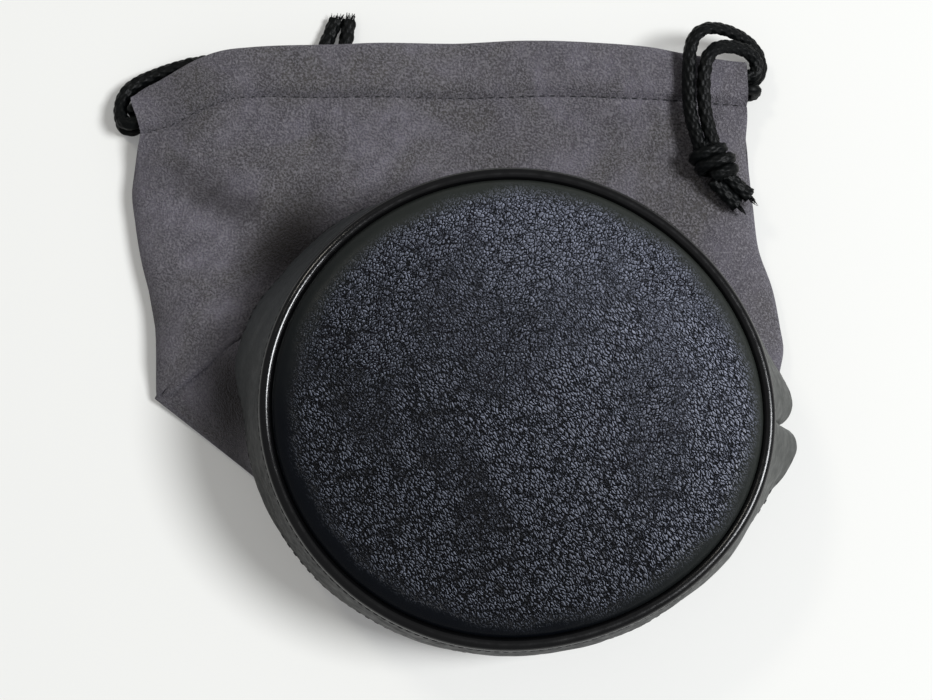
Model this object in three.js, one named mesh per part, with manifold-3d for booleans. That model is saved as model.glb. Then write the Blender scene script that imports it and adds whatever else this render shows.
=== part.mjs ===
// A drawstring pouch for a camera lens, lying collapsed with its padded base upward.
// Millimetres, +Z up. The mouth points along +Y, and the table is z = 0.
// The base disc lies on top. Its band hangs from the base seam, and the soft bag under it
// is flattened: the near wall runs along the table to the mouth, and the far wall is folded
// in below the base and comes out again as the upper sheet.
import * as THREE from 'three';
import Module from 'manifold-3d';
import { mergeVertices } from 'three/addons/utils/BufferGeometryUtils.js';

// Driving dimensions of the base
const baseRadius = 57.1; // mean radius of the piping
const baseHeight = 37; // piping above the table, at the middle of the base
const baseLean = THREE.MathUtils.degToRad(2.5); // the base leans to +X
const pressShares = [
  [2, 0.033, -0.004],
  [3, 0.006, -0.005],
  [4, 0.004, -0.004],
]; // how far the soft base is pressed out of round: waves, cosine share, sine share
const seamClearance = 0.35; // room between pieces that are sewn or lie together
const pipingCoreDiameter = 1.3;
const pipingCoverThickness = 0.55;
const panelThickness = 1.0;
const panelEdgeHeight = 3.9; // the rolled rim of the panel above the piping
const panelCrownHeight = 5.6; // the middle of the panel above the piping
const panelRollWidth = 6.5;
const panelTuckDepth = 1.4; // the panel's edge goes this far below the piping's middle
const boardThickness = 1.5;
const liningThickness = 0.6;
const bindingWidth = 4.0;
const bindingThickness = 0.7;
const threadDiameter = 0.45;

// Driving dimensions of the band
const bandHeight = 21.1;
const bandThickness = 1.0;
const bandBulgeDepth = 0.7;
const bandFoamThickness = 1.8;
const bandSeamAngle = -2.2; // degrees, where the band's two ends meet
const bandSeamGap = 0.4;
const bandColumns = 46;
const leftSeamColumn = 22; // the column at the left side seam of the bag
const stitchInset = 0.7; // the lower stitch row above the band's edge
const suedeOverlap = 4.2; // how far the bag reaches up inside the band

// Driving dimensions of the bag
const suedeThickness = 0.7;
const flatWidth = 158; // the flattened bag
const flatReach = 96.3; // from the middle of the base to the mouth
const leafHeight = 1.4; // the folded wall above the upper sheet
const throatHeight = 8.8; // room between the upper and lower sheet
const sideSeamHeight = 3.3; // where the two sheets meet at the sides
const sideRoundWidth = 12;
const bendHeight = 1.5; // the near wall turns onto the table this high above it
const mouthGap = 4.7; // room between the two hems in the middle of the mouth
const sideMouthGap = 1.1;
const mouthRoundWidth = 24;
const puffHeight = 6.0; // the upper sheet rises to the band at the left
const puffWidth = 13;
const knotRoomHeight = 8.9; // the hem lies this high over the knot under it
const sheetColumns = 22;
const ridgeShare = 0.142; // where the upper sheet comes out from under the band
const leafLimitShare = 0.955; // the folded wall ends this far across

// Driving dimensions of the cords
const cordDiameter = 2.8;
const cordClearance = 0.35; // above and below the cord in the hem
const knotLength = 11;
const knotWidth = 10;
const knotHeight = 7.8;
const cordSides = 8;

// Outlines, as shares of the flat bag's width and reach: [share along Y, share along X]
const leftEdgeShares = [
  [0.063, -0.57],
  [0.27, -0.576],
  [0.43, -0.6],
  [0.53, -0.611],
  [0.62, -0.617],
  [0.76, -0.603],
  [0.86, -0.602],
  [1, -0.602],
];
const rightEdgeShares = [
  [-0.093, 0.408],
  [0, 0.417],
  [0.11, 0.424],
  [0.185, 0.433],
  [0.24, 0.429],
  [0.346, 0.418],
  [0.453, 0.397],
  [0.575, 0.389],
  [0.726, 0.379],
  [0.84, 0.381],
  [1, 0.378],
];
// [share across the bag from left to right, share of the reach]
const foldShares = [
  [0, 0.063],
  [0.07, 0.135],
  [0.142, 0.213],
  [0.2, 0.22],
  [0.3, 0.2],
  [0.5, 0.12],
  [0.75, 0.02],
  [1, -0.093],
];
const stitchShares = [
  [0, 0.761],
  [0.053, 0.778],
  [0.103, 0.807],
  [0.17, 0.834],
  [0.318, 0.834],
  [0.594, 0.85],
  [0.69, 0.854],
  [0.89, 0.842],
  [1, 0.838],
];
const mouthShares = [
  [0, 0.856],
  [0.02, 0.884],
  [0.105, 0.945],
  [0.188, 0.966],
  [0.335, 0.974],
  [0.513, 0.99],
  [0.61, 1],
  [0.69, 1],
  [0.82, 0.987],
  [0.89, 0.97],
  [1, 0.952],
];
// How far the band's lower edge stands out: [degrees round the base, share of its height]
const flareShares = [
  [-2.2, 0.157], [-0.6, 0.309], [2.2, 0.391], [5, 0.387], [8.5, 0.339], [13.7, 0.27],
  [19.7, 0.226], [26, 0.174], [40, 0.115], [60, 0.11], [90, 0.12], [105, 0.157],
  [120, 0.243], [132, 0.339], [142, 0.365], [150, 0.396], [157, 0.452], [164, 0.461],
  [171, 0.43], [180, 0.317], [190, 0.287], [202, 0.248], [220, 0.209], [232, 0.165],
  [257, 0.115], [281, 0.115], [300, 0.148], [312, 0.143], [326, 0.18], [335, 0.178],
  [341.7, 0.239], [344, 0.257], [348, 0.352], [351.3, 0.409], [354, 0.426],
  [356.6, 0.357], [357.8, 0.157],
];
// The hem in section: [share from the stitch row to the mouth, share of the channel's pitch]
const hemShares = [
  [0, 0.38],
  [0.11, 0.78],
  [0.24, 1],
  [0.86, 1],
  [0.96, 0.82],
  [1, 0.5],
  [0.96, 0.18],
  [0.86, 0],
  [0.24, 0],
  [-0.12, 0.12],
];
// Where the near wall meets the table: [degrees round the base, share of the base radius]
const landShares = [
  [196, 1.11],
  [215, 1.0],
  [240, 0.965],
  [270, 0.955],
  [300, 0.97],
  [325, 1.0],
  [340, 1.03],
];
const nearLandFrom = 196;
const nearLandTo = 340;

// Small values worked out from the sizes above
const pipingRadius = pipingCoreDiameter / 2 + seamClearance + pipingCoverThickness;
const channelPitch = cordDiameter + 2 * cordClearance + suedeThickness;
const hemThickness = channelPitch + suedeThickness;
const halfSuede = suedeThickness / 2;
const bandTopInset = -(threadDiameter / 2 + seamClearance + bandThickness / 2);
const bandTopHeight = -(pipingRadius + seamClearance);
const lowerSheetZ = halfSuede;
const upperSheetZ = suedeThickness + throatHeight + halfSuede;
const upperSideZ = sideSeamHeight + (suedeThickness + seamClearance) / 2;
const lowerSideZ = sideSeamHeight - (suedeThickness + seamClearance) / 2;

// General helpers
const radians = THREE.MathUtils.degToRad;
const lerp = THREE.MathUtils.lerp;
const clamp01 = (x) => THREE.MathUtils.clamp(x, 0, 1);
const smooth = (x) => THREE.MathUtils.smoothstep(x, 0, 1);
const point = (x, y, z) => new THREE.Vector3(x, y, z);

// A smooth curve through a table of [at, value]
function along(table, at) {
  const last = table.length - 1;
  if (at <= table[0][0]) return table[0][1];
  if (at >= table[last][0]) return table[last][1];
  let i = 0;
  while (table[i + 1][0] < at) i += 1;
  const slope = (k) => {
    const a = table[Math.max(k - 1, 0)];
    const b = table[Math.min(k + 1, last)];
    return (b[1] - a[1]) / (b[0] - a[0]);
  };
  const [x0, y0] = table[i];
  const [x1, y1] = table[i + 1];
  const w = x1 - x0;
  const t = (at - x0) / w;
  const h00 = (1 + 2 * t) * (1 - t) * (1 - t);
  const h10 = t * (1 - t) * (1 - t);
  const h01 = t * t * (3 - 2 * t);
  const h11 = t * t * (t - 1);
  return h00 * y0 + h10 * w * slope(i) + h01 * y1 + h11 * w * slope(i + 1);
}

// Shares from 0 to 1 that crowd together at both ends
function crowded(count, crowding) {
  const shares = [];
  for (let i = 0; i <= count; i += 1) {
    const u = i / count;
    shares.push(u - (crowding * Math.sin(2 * Math.PI * u)) / (2 * Math.PI));
  }
  return shares;
}

function geometryFrom(points, faces) {
  const geometry = new THREE.BufferGeometry();
  geometry.setAttribute('position', new THREE.Float32BufferAttribute(points.flatMap((p) => p.toArray()), 3));
  geometry.setIndex(faces.flat());
  return facingOut(geometry);
}

// Turns the faces round where the volume comes out negative
function facingOut(geometry) {
  const position = geometry.getAttribute('position');
  const index = geometry.getIndex();
  const corner = (k) => new THREE.Vector3().fromBufferAttribute(position, index.getX(k));
  let volume = 0;
  for (let i = 0; i < index.count; i += 3) {
    volume += corner(i).dot(corner(i + 1).cross(corner(i + 2)));
  }
  if (volume < 0) {
    for (let i = 0; i < index.count; i += 3) {
      const kept = index.getX(i + 1);
      index.setX(i + 1, index.getX(i + 2));
      index.setX(i + 2, kept);
    }
  }
  geometry.computeVertexNormals();
  return geometry;
}

// A closed slab around a grid of points, rows of columns. A ring joins its last column to its first.
function slab(rows, thickness, ring = false) {
  const high = rows.length;
  const wide = rows[0].length;
  const points = [];
  const at = (i, j) => rows[i][ring ? (j + wide) % wide : THREE.MathUtils.clamp(j, 0, wide - 1)];
  for (const side of [1, -1]) {
    for (let i = 0; i < high; i += 1) {
      for (let j = 0; j < wide; j += 1) {
        const down = at(Math.min(i + 1, high - 1), j).clone().sub(at(Math.max(i - 1, 0), j));
        const across = at(i, j + 1).clone().sub(at(i, j - 1));
        const normal = across.cross(down).normalize();
        points.push(at(i, j).clone().addScaledVector(normal, (side * thickness) / 2));
      }
    }
  }
  const faces = [];
  const under = high * wide;
  const quad = (a, b, c, d) => faces.push([a, b, c], [a, c, d]);
  const columns = ring ? wide : wide - 1;
  for (let i = 0; i < high - 1; i += 1) {
    for (let j = 0; j < columns; j += 1) {
      const k = (j + 1) % wide;
      quad(i * wide + j, i * wide + k, (i + 1) * wide + k, (i + 1) * wide + j);
      const [a, b] = [under + i * wide, under + (i + 1) * wide];
      quad(a + j, b + j, b + k, a + k);
    }
  }
  for (let j = 0; j < columns; j += 1) {
    const k = (j + 1) % wide;
    const low = (high - 1) * wide;
    quad(j, under + j, under + k, k);
    quad(low + j, low + k, under + low + k, under + low + j);
  }
  if (!ring) {
    for (let i = 0; i < high - 1; i += 1) {
      const right = wide - 1;
      quad(i * wide, (i + 1) * wide, under + (i + 1) * wide, under + i * wide);
      const [a, b] = [i * wide + right, (i + 1) * wide + right];
      quad(a, under + a, under + b, b);
    }
  }
  return geometryFrom(points, faces);
}

// A closed ring of sections, each a closed polygon
function ringOf(sections) {
  const sides = sections[0].length;
  const faces = [];
  sections.forEach((_, i) => {
    const next = (i + 1) % sections.length;
    for (let j = 0; j < sides; j += 1) {
      const k = (j + 1) % sides;
      const a = i * sides + j;
      const b = next * sides + j;
      const c = next * sides + k;
      const d = i * sides + k;
      faces.push([a, b, c], [a, c, d]);
    }
  });
  return geometryFrom(sections.flat(), faces);
}

// A closed body of sections that starts and ends in a point
function pod(start, sections, end) {
  const sides = sections[0].length;
  const points = [start, ...sections.flat(), end];
  const faces = [];
  const last = points.length - 1;
  for (let j = 0; j < sides; j += 1) {
    const k = (j + 1) % sides;
    faces.push([0, 1 + k, 1 + j]);
    for (let i = 0; i < sections.length - 1; i += 1) {
      const a = 1 + i * sides + j;
      const b = 1 + (i + 1) * sides + j;
      const c = 1 + (i + 1) * sides + k;
      const d = 1 + i * sides + k;
      faces.push([a, d, c], [a, c, b]);
    }
    const top = 1 + (sections.length - 1) * sides;
    faces.push([last, top + j, top + k]);
  }
  return geometryFrom(points, faces);
}

// A round section across a direction of travel
function sectionAt(centre, travel, radius, sides, up) {
  const side = travel.clone().cross(up).normalize();
  const rise = side.clone().cross(travel).normalize();
  const points = [];
  for (let j = 0; j < sides; j += 1) {
    const a = (2 * Math.PI * (j + 0.5)) / sides;
    const p = centre.clone();
    p.addScaledVector(side, radius * Math.cos(a));
    p.addScaledVector(rise, radius * Math.sin(a));
    points.push(p);
  }
  return points;
}

// A round cord along a list of points
function cordAlong(points, diameter, steps, sides) {
  const curve = new THREE.CatmullRomCurve3(points, false, 'centripetal');
  const section = new THREE.Shape();
  for (let j = 0; j < sides; j += 1) {
    const a = (2 * Math.PI * (j + 0.5)) / sides;
    const x = (diameter / 2) * Math.cos(a);
    const y = (diameter / 2) * Math.sin(a);
    if (j === 0) section.moveTo(x, y);
    else section.lineTo(x, y);
  }
  section.closePath();
  return new THREE.ExtrudeGeometry(section, { steps, extrudePath: curve, curveSegments: 1 });
}

// The base: its outline, and places on its tilted plane
function outline(degrees) {
  const a = radians(degrees);
  let share = 1;
  for (const [waves, cosine, sine] of pressShares) {
    share += cosine * Math.cos(waves * a) + sine * Math.sin(waves * a);
  }
  return baseRadius * share;
}

function onBase(degrees, inset, height) {
  const r = outline(degrees) - inset;
  return point(r * Math.cos(radians(degrees)), r * Math.sin(radians(degrees)), height);
}

function leaned(p) {
  return p.clone().applyAxisAngle(point(0, 1, 0), baseLean).add(point(0, 0, baseHeight));
}

const columnShares = crowded(bandColumns, 0.7);
const bandAngles = columnShares.map((share) => bandSeamAngle + 360 * share);
const ringAngles = bandAngles.slice(0, -1);

// A round plate on the base: profile points are [share of the way out, inset, height]
function plate(profile) {
  const rings = profile.slice(1, -1).map(([share, inset, height]) => ringAngles.map((degrees) => {
    const p = onBase(degrees, inset, 0).multiplyScalar(share);
    return point(p.x, p.y, height);
  }));
  const first = profile[0];
  const end = profile[profile.length - 1];
  return pod(point(0, 0, first[2]), rings, point(0, 0, end[2]));
}

// The panel's upper side: a rolled rim and a slow crown
function panelProfile(depth) {
  const edge = pipingRadius + seamClearance + depth;
  const rows = [];
  for (let i = 0; i <= 3; i += 1) {
    const a = (Math.PI / 2) * (i / 3);
    const inset = edge + (panelRollWidth - depth) * (1 - Math.cos(a));
    rows.push([1, inset, (panelEdgeHeight - depth) * Math.sin(a)]);
  }
  const rollEnd = pipingRadius + seamClearance + panelRollWidth;
  const middleShare = 0.6;
  rows.push([middleShare, rollEnd, lerp(panelCrownHeight, panelEdgeHeight, middleShare ** 2) - depth]);
  return rows;
}

function basePanel() {
  const outer = panelProfile(0);
  const inner = panelProfile(panelThickness);
  const outerEdge = [1, pipingRadius + seamClearance, -panelTuckDepth];
  const innerEdge = [1, pipingRadius + seamClearance + panelThickness, -panelTuckDepth];
  const crown = [0, 0, panelCrownHeight];
  const below = [0, 0, panelCrownHeight - panelThickness];
  return plate([crown, ...outer.reverse(), outerEdge, innerEdge, ...inner, below]);
}

function baseFoam() {
  const dome = panelProfile(panelThickness + seamClearance);
  const edge = pipingRadius + panelThickness + 2 * seamClearance;
  const top = [0, 0, panelCrownHeight - panelThickness - seamClearance];
  return plate([top, ...dome.reverse(), [1, edge, -panelTuckDepth], [0, 0, -panelTuckDepth]]);
}

const boardInset = pipingRadius + seamClearance;
const boardTop = -(panelTuckDepth + seamClearance);
const boardBottom = boardTop - boardThickness;

function baseBoard() {
  return plate([
    [0, 0, boardTop],
    [1, boardInset, boardTop],
    [1, boardInset, boardBottom],
    [0, 0, boardBottom],
  ]);
}

const liningTop = boardBottom - seamClearance;
const liningBottom = liningTop - liningThickness;

function baseLining() {
  return plate([
    [0, 0, liningTop],
    [1, boardInset, liningTop],
    [1, boardInset, liningBottom],
    [0, 0, liningBottom],
  ]);
}

const bindingTop = liningBottom - seamClearance;
const bindingBottom = bindingTop - bindingThickness;

function seamBinding() {
  return ringOf(ringAngles.map((degrees) => [
    onBase(degrees, boardInset, bindingTop),
    onBase(degrees, boardInset, bindingBottom),
    onBase(degrees, boardInset + bindingWidth, bindingBottom),
    onBase(degrees, boardInset + bindingWidth, bindingTop),
  ]));
}

// A ring on the base with a section given round its own middle
function seamRing(section, inset, height) {
  const around = (degrees) => section.map(([out, up]) => onBase(degrees, inset - out, height + up));
  return ringOf(ringAngles.map(around));
}

function roundSection(radius, sides) {
  return Array.from({ length: sides }, (_, j) => {
    const a = (2 * Math.PI * (j + 0.5)) / sides;
    return [radius * Math.cos(a), radius * Math.sin(a)];
  });
}

function pipingCore() {
  return seamRing(roundSection(pipingCoreDiameter / 2, 6), 0, 0);
}

// The cover goes round the core and is open below, where its edges go into the seam
function pipingCover() {
  const bend = 4;
  const opening = radians(34);
  const section = [];
  const arc = (radius, from, to) => {
    for (let j = 0; j <= bend; j += 1) {
      const a = -Math.PI / 2 + lerp(from, to, j / bend);
      section.push([radius * Math.cos(a), radius * Math.sin(a)]);
    }
  };
  arc(pipingRadius, opening, 2 * Math.PI - opening);
  arc(pipingRadius - pipingCoverThickness, 2 * Math.PI - opening, opening);
  return seamRing(section, 0, 0);
}

function baseSeamThread() {
  const down = pipingRadius + seamClearance + threadDiameter / 2;
  return seamRing(roundSection(threadDiameter / 2, 5), 0, -down);
}

// The band, as a surface round the base: down is 0 at its top edge and 1 at its lower edge
function bandSurface(degrees, down) {
  const top = leaned(onBase(degrees, bandTopInset, bandTopHeight));
  const reach = outline(degrees) + (bandHeight - bandTopHeight) * along(flareShares, degrees);
  const topReach = Math.hypot(top.x, top.y);
  const drop = Math.sqrt(bandHeight ** 2 - (reach - topReach) ** 2);
  const out = topReach + (reach - topReach) * down ** 1.3 + bandBulgeDepth * 4 * down * (1 - down);
  return point(out * Math.cos(radians(degrees)), out * Math.sin(radians(degrees)), top.z - drop * down);
}

function bandNormal(degrees, down) {
  const step = 0.4;
  const low = Math.max(down - 0.04, 0);
  const high = Math.min(down + 0.04, 1);
  const before = Math.max(degrees - step, bandSeamAngle);
  const after = Math.min(degrees + step, bandSeamAngle + 360);
  const across = bandSurface(after, down).sub(bandSurface(before, down));
  const downward = bandSurface(degrees, high).sub(bandSurface(degrees, low));
  return downward.cross(across).normalize();
}

// A point inside the band, depth behind its middle surface
function behindBand(degrees, down, depth) {
  return bandSurface(degrees, down).addScaledVector(bandNormal(degrees, down), -depth);
}

const foamFromShare = (bandTopHeight - bindingBottom + seamClearance) / bandHeight;
const suedeFromShare = 1 - suedeOverlap / bandHeight;
const foamToShare = suedeFromShare - seamClearance / bandHeight;
const liningToShare = 1 - 2 * (seamClearance + liningThickness) / bandHeight;
const foamDepth = (bandThickness + bandFoamThickness) / 2 + seamClearance;
const suedeDepth = (bandThickness + suedeThickness) / 2 + seamClearance;
const liningDepthTop = bandThickness / 2 + bandFoamThickness + 2 * seamClearance + liningThickness / 2;
const liningDepthEdge = bandThickness / 2 + suedeThickness + 2 * seamClearance + liningThickness / 2;

function bandGrid(downs, depthAt) {
  return downs.map((down) => bandAngles.map((degrees, j) => {
    const p = behindBand(degrees, down, depthAt(down));
    // the two ends stay a little apart at the upright seam
    const end = j === 0 ? 1 : -1;
    if (j === 0 || j === bandColumns) {
      const a = radians(bandSeamAngle);
      p.add(point(-Math.sin(a), Math.cos(a), 0).multiplyScalar((end * bandSeamGap) / 2));
    }
    return p;
  }));
}

function band() {
  return slab(bandGrid([0, 0.2, 0.45, 0.7, 0.88, 1], () => 0), bandThickness);
}

function bandFoam() {
  const rows = bandGrid([foamFromShare, 0.45, foamToShare], () => foamDepth);
  // the foam stops a little short of the upright seam
  return slab(rows.map((row) => row.slice(2, -2)), bandFoamThickness);
}

function bandLining() {
  const settle = (down) => {
    const way = smooth((down - foamToShare) / (liningToShare - foamToShare));
    return lerp(liningDepthTop, liningDepthEdge, way);
  };
  return slab(bandGrid([foamFromShare, 0.45, foamToShare, 0.88, liningToShare], settle), liningThickness);
}

function bandStitching() {
  const down = 1 - stitchInset / bandHeight;
  const away = -(bandThickness / 2 + threadDiameter / 2 + seamClearance / 3);
  const at = ringAngles.slice(1).map((degrees) => behindBand(degrees, down, away));
  const sections = at.map((p, j) => {
    const next = at[Math.min(j + 1, at.length - 1)];
    const before = at[Math.max(j - 1, 0)];
    return sectionAt(p, next.clone().sub(before), threadDiameter / 2, 5, point(0, 0, 1));
  });
  return pod(at[0].clone(), sections, at[at.length - 1].clone());
}

// A point below the band's lower edge, going on in the band's own direction
function belowBand(degrees, extra, depth) {
  const edge = bandSurface(degrees, 1);
  const onward = edge.clone().sub(bandSurface(degrees, 0.95)).normalize();
  return edge.addScaledVector(onward, extra).addScaledVector(bandNormal(degrees, 1), -depth);
}

// The flattened bag: edges, fold line, stitch row and mouth
const leftX = (y) => flatWidth * along(leftEdgeShares, y / flatReach);
const rightX = (y) => flatWidth * along(rightEdgeShares, y / flatReach);
const foldY = (share) => flatReach * along(foldShares, share);
const stitchY = (share) => flatReach * along(stitchShares, share);
const mouthY = (share) => flatReach * along(mouthShares, share);
const acrossX = (share, y) => lerp(leftX(y), rightX(y), share);
const shareOf = (x, y) => clamp01((x - leftX(y)) / (rightX(y) - leftX(y)));

// How far the sheets have left the side seam: 0 at the edge and 1 inside
function rounding(x, y, width) {
  const edge = Math.min(x - leftX(y), rightX(y) - x);
  const u = clamp01(edge / width);
  return Math.sqrt(Math.max(0, 1 - (1 - u) ** 2));
}

// The hem lies over the knot near its left end
const bumpShares = { from: -0.63, fullFrom: -0.44, fullTo: -0.25, to: -0.05, low: 0.45, high: 0.84 };

function bump(x, y) {
  const b = bumpShares;
  const rise = smooth((x / flatWidth - b.from) / (b.fullFrom - b.from));
  const fall = smooth((b.to - x / flatWidth) / (b.to - b.fullTo));
  const reach = smooth((y / flatReach - b.low) / (b.high - b.low));
  return knotRoomHeight * Math.min(rise, fall) * reach;
}

// Where both hems are lifted, the mouth closes over the knot
const upperLift = (x, y) => bump(x, y) * (1 - (mouthGap - sideMouthGap) / knotRoomHeight);

function hemBlend(share, y) {
  return smooth((y - (stitchY(share) - sideRoundWidth)) / sideRoundWidth);
}

function lowerZ(x, y) {
  const hem = hemBlend(shareOf(x, y), y);
  const side = lerp(lowerSideZ, lowerSheetZ, hem);
  return lerp(side, lowerSheetZ, rounding(x, y, sideRoundWidth / 2)) + bump(x, y);
}

// The inner layer of the upper hem, above the mouth's gap
function upperHemZ(x, y) {
  const closed = hemThickness + sideMouthGap + halfSuede;
  const open = hemThickness + mouthGap + halfSuede;
  const edge = Math.min(x - leftX(y), rightX(y) - x);
  return lerp(closed, open, smooth(edge / mouthRoundWidth)) + upperLift(x, y);
}

function upperZ(x, y) {
  const share = shareOf(x, y);
  const stitched = upperHemZ(x, y) + hemShares[0][1] * channelPitch;
  const puffX = (x - acrossX(ridgeShare, foldY(ridgeShare))) / puffWidth;
  const puffY = (y - foldY(ridgeShare)) / puffWidth;
  const puff = puffHeight * Math.exp(-(puffX ** 2 + puffY ** 2) / 2);
  const free = upperSheetZ + puff;
  const sheet = lerp(upperSideZ, free, rounding(x, y, sideRoundWidth)) + upperLift(x, y);
  return lerp(sheet, stitched, hemBlend(share, y));
}

// One sheet's hem rows from the stitch row to its folded end
function hemRows(shares, mirror) {
  return hemShares.map(([out, up]) => shares.map((share) => {
    const y = lerp(stitchY(share), mouthY(share), out);
    const x = acrossX(share, y);
    if (mirror) return point(x, y, lowerZ(x, y) + channelPitch * (1 - up));
    return point(x, y, upperHemZ(x, y) + channelPitch * up);
  }));
}

const sheetShares = crowded(sheetColumns, 0.72);

// The crest from the band down to the left corner, where the near wall ends
const cornerY = foldY(0);
const corner = point(leftX(cornerY), cornerY, lowerSideZ - seamClearance / 4);

// The upper sheet, from its fold to the mouth
function upperSheetRows() {
  const rows = [];
  const crestTop = bandSurface(bandAngles[leftSeamColumn], 1);
  for (const step of [0, 0.05, 0.15, 0.3, 0.5, 0.7, 0.86, 0.95]) {
    rows.push(sheetShares.map((share) => {
      const y = lerp(foldY(share), stitchY(share), step);
      const x = acrossX(share, y);
      const free = upperZ(x, y);
      const climb = clamp01(share / ridgeShare);
      const crest = lerp(upperSideZ, crestTop.z - 2 * suedeThickness, 1 - (1 - climb) ** 1.8);
      const held = share < ridgeShare ? clamp01(1 - step * 9) : 0;
      return point(x, y, lerp(free, Math.min(free, crest), held));
    }));
  }
  return rows.concat(hemRows(sheetShares, false));
}

// A wall's first two rows, sewn in behind the band's lower edge
function sewnRows(columns) {
  const row = (down) => columns.map((degrees) => behindBand(degrees, down, suedeDepth));
  return [row(suedeFromShare), row(1)];
}

// The far wall, from inside the band in below the base to its fold
function leafRows() {
  const columns = bandAngles.slice(2, leftSeamColumn - 1);
  const rows = sewnRows(columns);
  rows.push(columns.map((degrees) => belowBand(degrees, seamClearance + halfSuede, suedeDepth)));
  const edges = rows[rows.length - 1];
  const limit = acrossX(leafLimitShare, 0);
  for (const step of [0.16, 0.5, 0.93]) {
    rows.push(edges.map((edge) => {
      const x = Math.min(edge.x, limit);
      const fold = foldY(shareOf(x, 0));
      const y = lerp(edge.y, fold, step);
      const z = upperZ(x, y) + leafHeight;
      return point(lerp(edge.x, x, step), y, step < 0.3 ? lerp(edge.z, z, 0.75) : z);
    }));
  }
  rows.push(edges.map((edge) => {
    const x = Math.min(edge.x, limit);
    const y = foldY(shareOf(x, 0)) + suedeThickness;
    return point(x, y, upperZ(x, y) + leafHeight * 0.8);
  }));
  rows.push(edges.map((edge) => {
    const x = Math.min(edge.x, limit);
    const y = foldY(shareOf(x, 0)) + suedeThickness;
    return point(x, y, upperZ(x, y));
  }));
  return rows;
}

const bendShare = 0.55; // the way down from the band to the table where the near wall has one more row

const wasm = await Module();
wasm.setup();

function solidOf(geometry) {
  const bare = geometry.clone();
  bare.deleteAttribute('normal');
  bare.deleteAttribute('uv');
  const merged = mergeVertices(bare, 1e-5);
  return new wasm.Manifold(new wasm.Mesh({
    numProp: 3,
    vertProperties: new Float32Array(merged.getAttribute('position').array),
    triVerts: new Uint32Array(merged.getIndex().array),
  }));
}

function geometryOf(solid) {
  const mesh = solid.getMesh();
  const geometry = new THREE.BufferGeometry();
  geometry.setAttribute('position', new THREE.Float32BufferAttribute(mesh.vertProperties, 3));
  geometry.setIndex(Array.from(mesh.triVerts));
  geometry.computeVertexNormals();
  return geometry;
}

function suedeFront() {
  const sheet = solidOf(slab(upperSheetRows(), suedeThickness));
  const leaf = solidOf(slab(leafRows(), suedeThickness));
  return geometryOf(sheet.add(leaf));
}

// Where the near wall turns onto the table, for a place round the base
function landing(degrees) {
  const polar = (at) => {
    const r = baseRadius * along(landShares, at);
    return point(r * Math.cos(radians(at)), r * Math.sin(radians(at)), lowerSheetZ);
  };
  const first = bandAngles[leftSeamColumn];
  const endY = foldY(1);
  const rightCorner = point(rightX(endY) + suedeThickness, endY - suedeThickness, lowerSideZ);
  if (degrees < nearLandFrom) {
    return corner.clone().lerp(polar(nearLandFrom), (degrees - first) / (nearLandFrom - first));
  }
  if (degrees > nearLandTo) {
    const last = bandAngles[bandColumns];
    return polar(nearLandTo).lerp(rightCorner, (degrees - nearLandTo) / (last - nearLandTo));
  }
  return polar(degrees);
}

// The near wall, from inside the band down to the table and along it to the mouth
function suedeBack() {
  const columns = bandAngles.slice(leftSeamColumn);
  const last = columns.length - 1;
  const shares = crowded(last, 0.6);
  const rows = sewnRows(columns);
  const lands = columns.map(landing);
  rows.push(columns.map((degrees, j) => {
    const beyond = Math.hypot(lands[j].x, lands[j].y) - Math.hypot(rows[1][j].x, rows[1][j].y);
    const outward = smooth(beyond / suedeOverlap);
    return belowBand(degrees, seamClearance + halfSuede, suedeDepth * (1 - outward));
  }));
  const edges = rows[rows.length - 1];
  const bend = point(0, 0, bendHeight);
  rows.push(edges.map((edge, j) => edge.clone().lerp(lands[j].clone().add(bend), bendShare)));
  rows.push(lands.map((land) => land.clone().add(point(0, 0, suedeThickness))));
  const leftLine = (y) => lerp(corner.x, acrossX(0, stitchY(0)), (y - corner.y) / (stitchY(0) - corner.y));
  for (const step of [0.02, 0.09, 0.22, 0.45, 0.68, 0.85, 0.95]) {
    rows.push(lands.map((land, j) => {
      const share = shares[j];
      const endY = stitchY(share);
      const y = lerp(land.y, endY, step);
      const bow = (1 - share) ** 3 * (leftX(y) - leftLine(y)) * (y > corner.y ? 1 : 0);
      const x = lerp(land.x, acrossX(share, endY), step) + bow;
      const side = j === 0 || j === last ? lowerZ(acrossX(share, y), y) : lowerZ(x, y);
      const z = y < corner.y && share < 0.5 ? lowerSheetZ : side;
      return point(x, y, z);
    }));
  }
  return slab(rows.concat(hemRows(shares, true)), suedeThickness);
}

// Threads of the hems and the side seams
function threadAlong(points) {
  return cordAlong(points, threadDiameter, points.length, 4);
}

function hemStitchingFront() {
  const above = suedeThickness / 2 + threadDiameter / 2 + seamClearance / 2;
  return threadAlong(sheetShares.slice(1, -1).map((share) => {
    const y = stitchY(share) - 2 * threadDiameter;
    const x = acrossX(share, y);
    return point(x, y, upperZ(x, y) + above);
  }));
}

function hemStitchingBack() {
  const dipShare = 0.08; // the stitches draw the hem's inner layer down this far
  const above = channelPitch * (1 - dipShare) + halfSuede + threadDiameter / 2 + seamClearance * 0.7;
  return threadAlong(sheetShares.slice(1, -1).map((share) => {
    const y = stitchY(share) - threadDiameter;
    const x = acrossX(share, y);
    return point(x, y, lowerZ(x, y) + above);
  }));
}

function sideSeamThread(share) {
  const inward = share < 0.5 ? 1 : -1;
  const points = [];
  for (let i = 0; i <= 8; i += 1) {
    const y = lerp(foldY(share) + sideRoundWidth, stitchY(share) - sideRoundWidth, i / 8);
    const x = acrossX(share, y) + inward * (2.2 * suedeThickness);
    points.push(point(x, y, sideSeamHeight));
  }
  return threadAlong(points);
}

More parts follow.
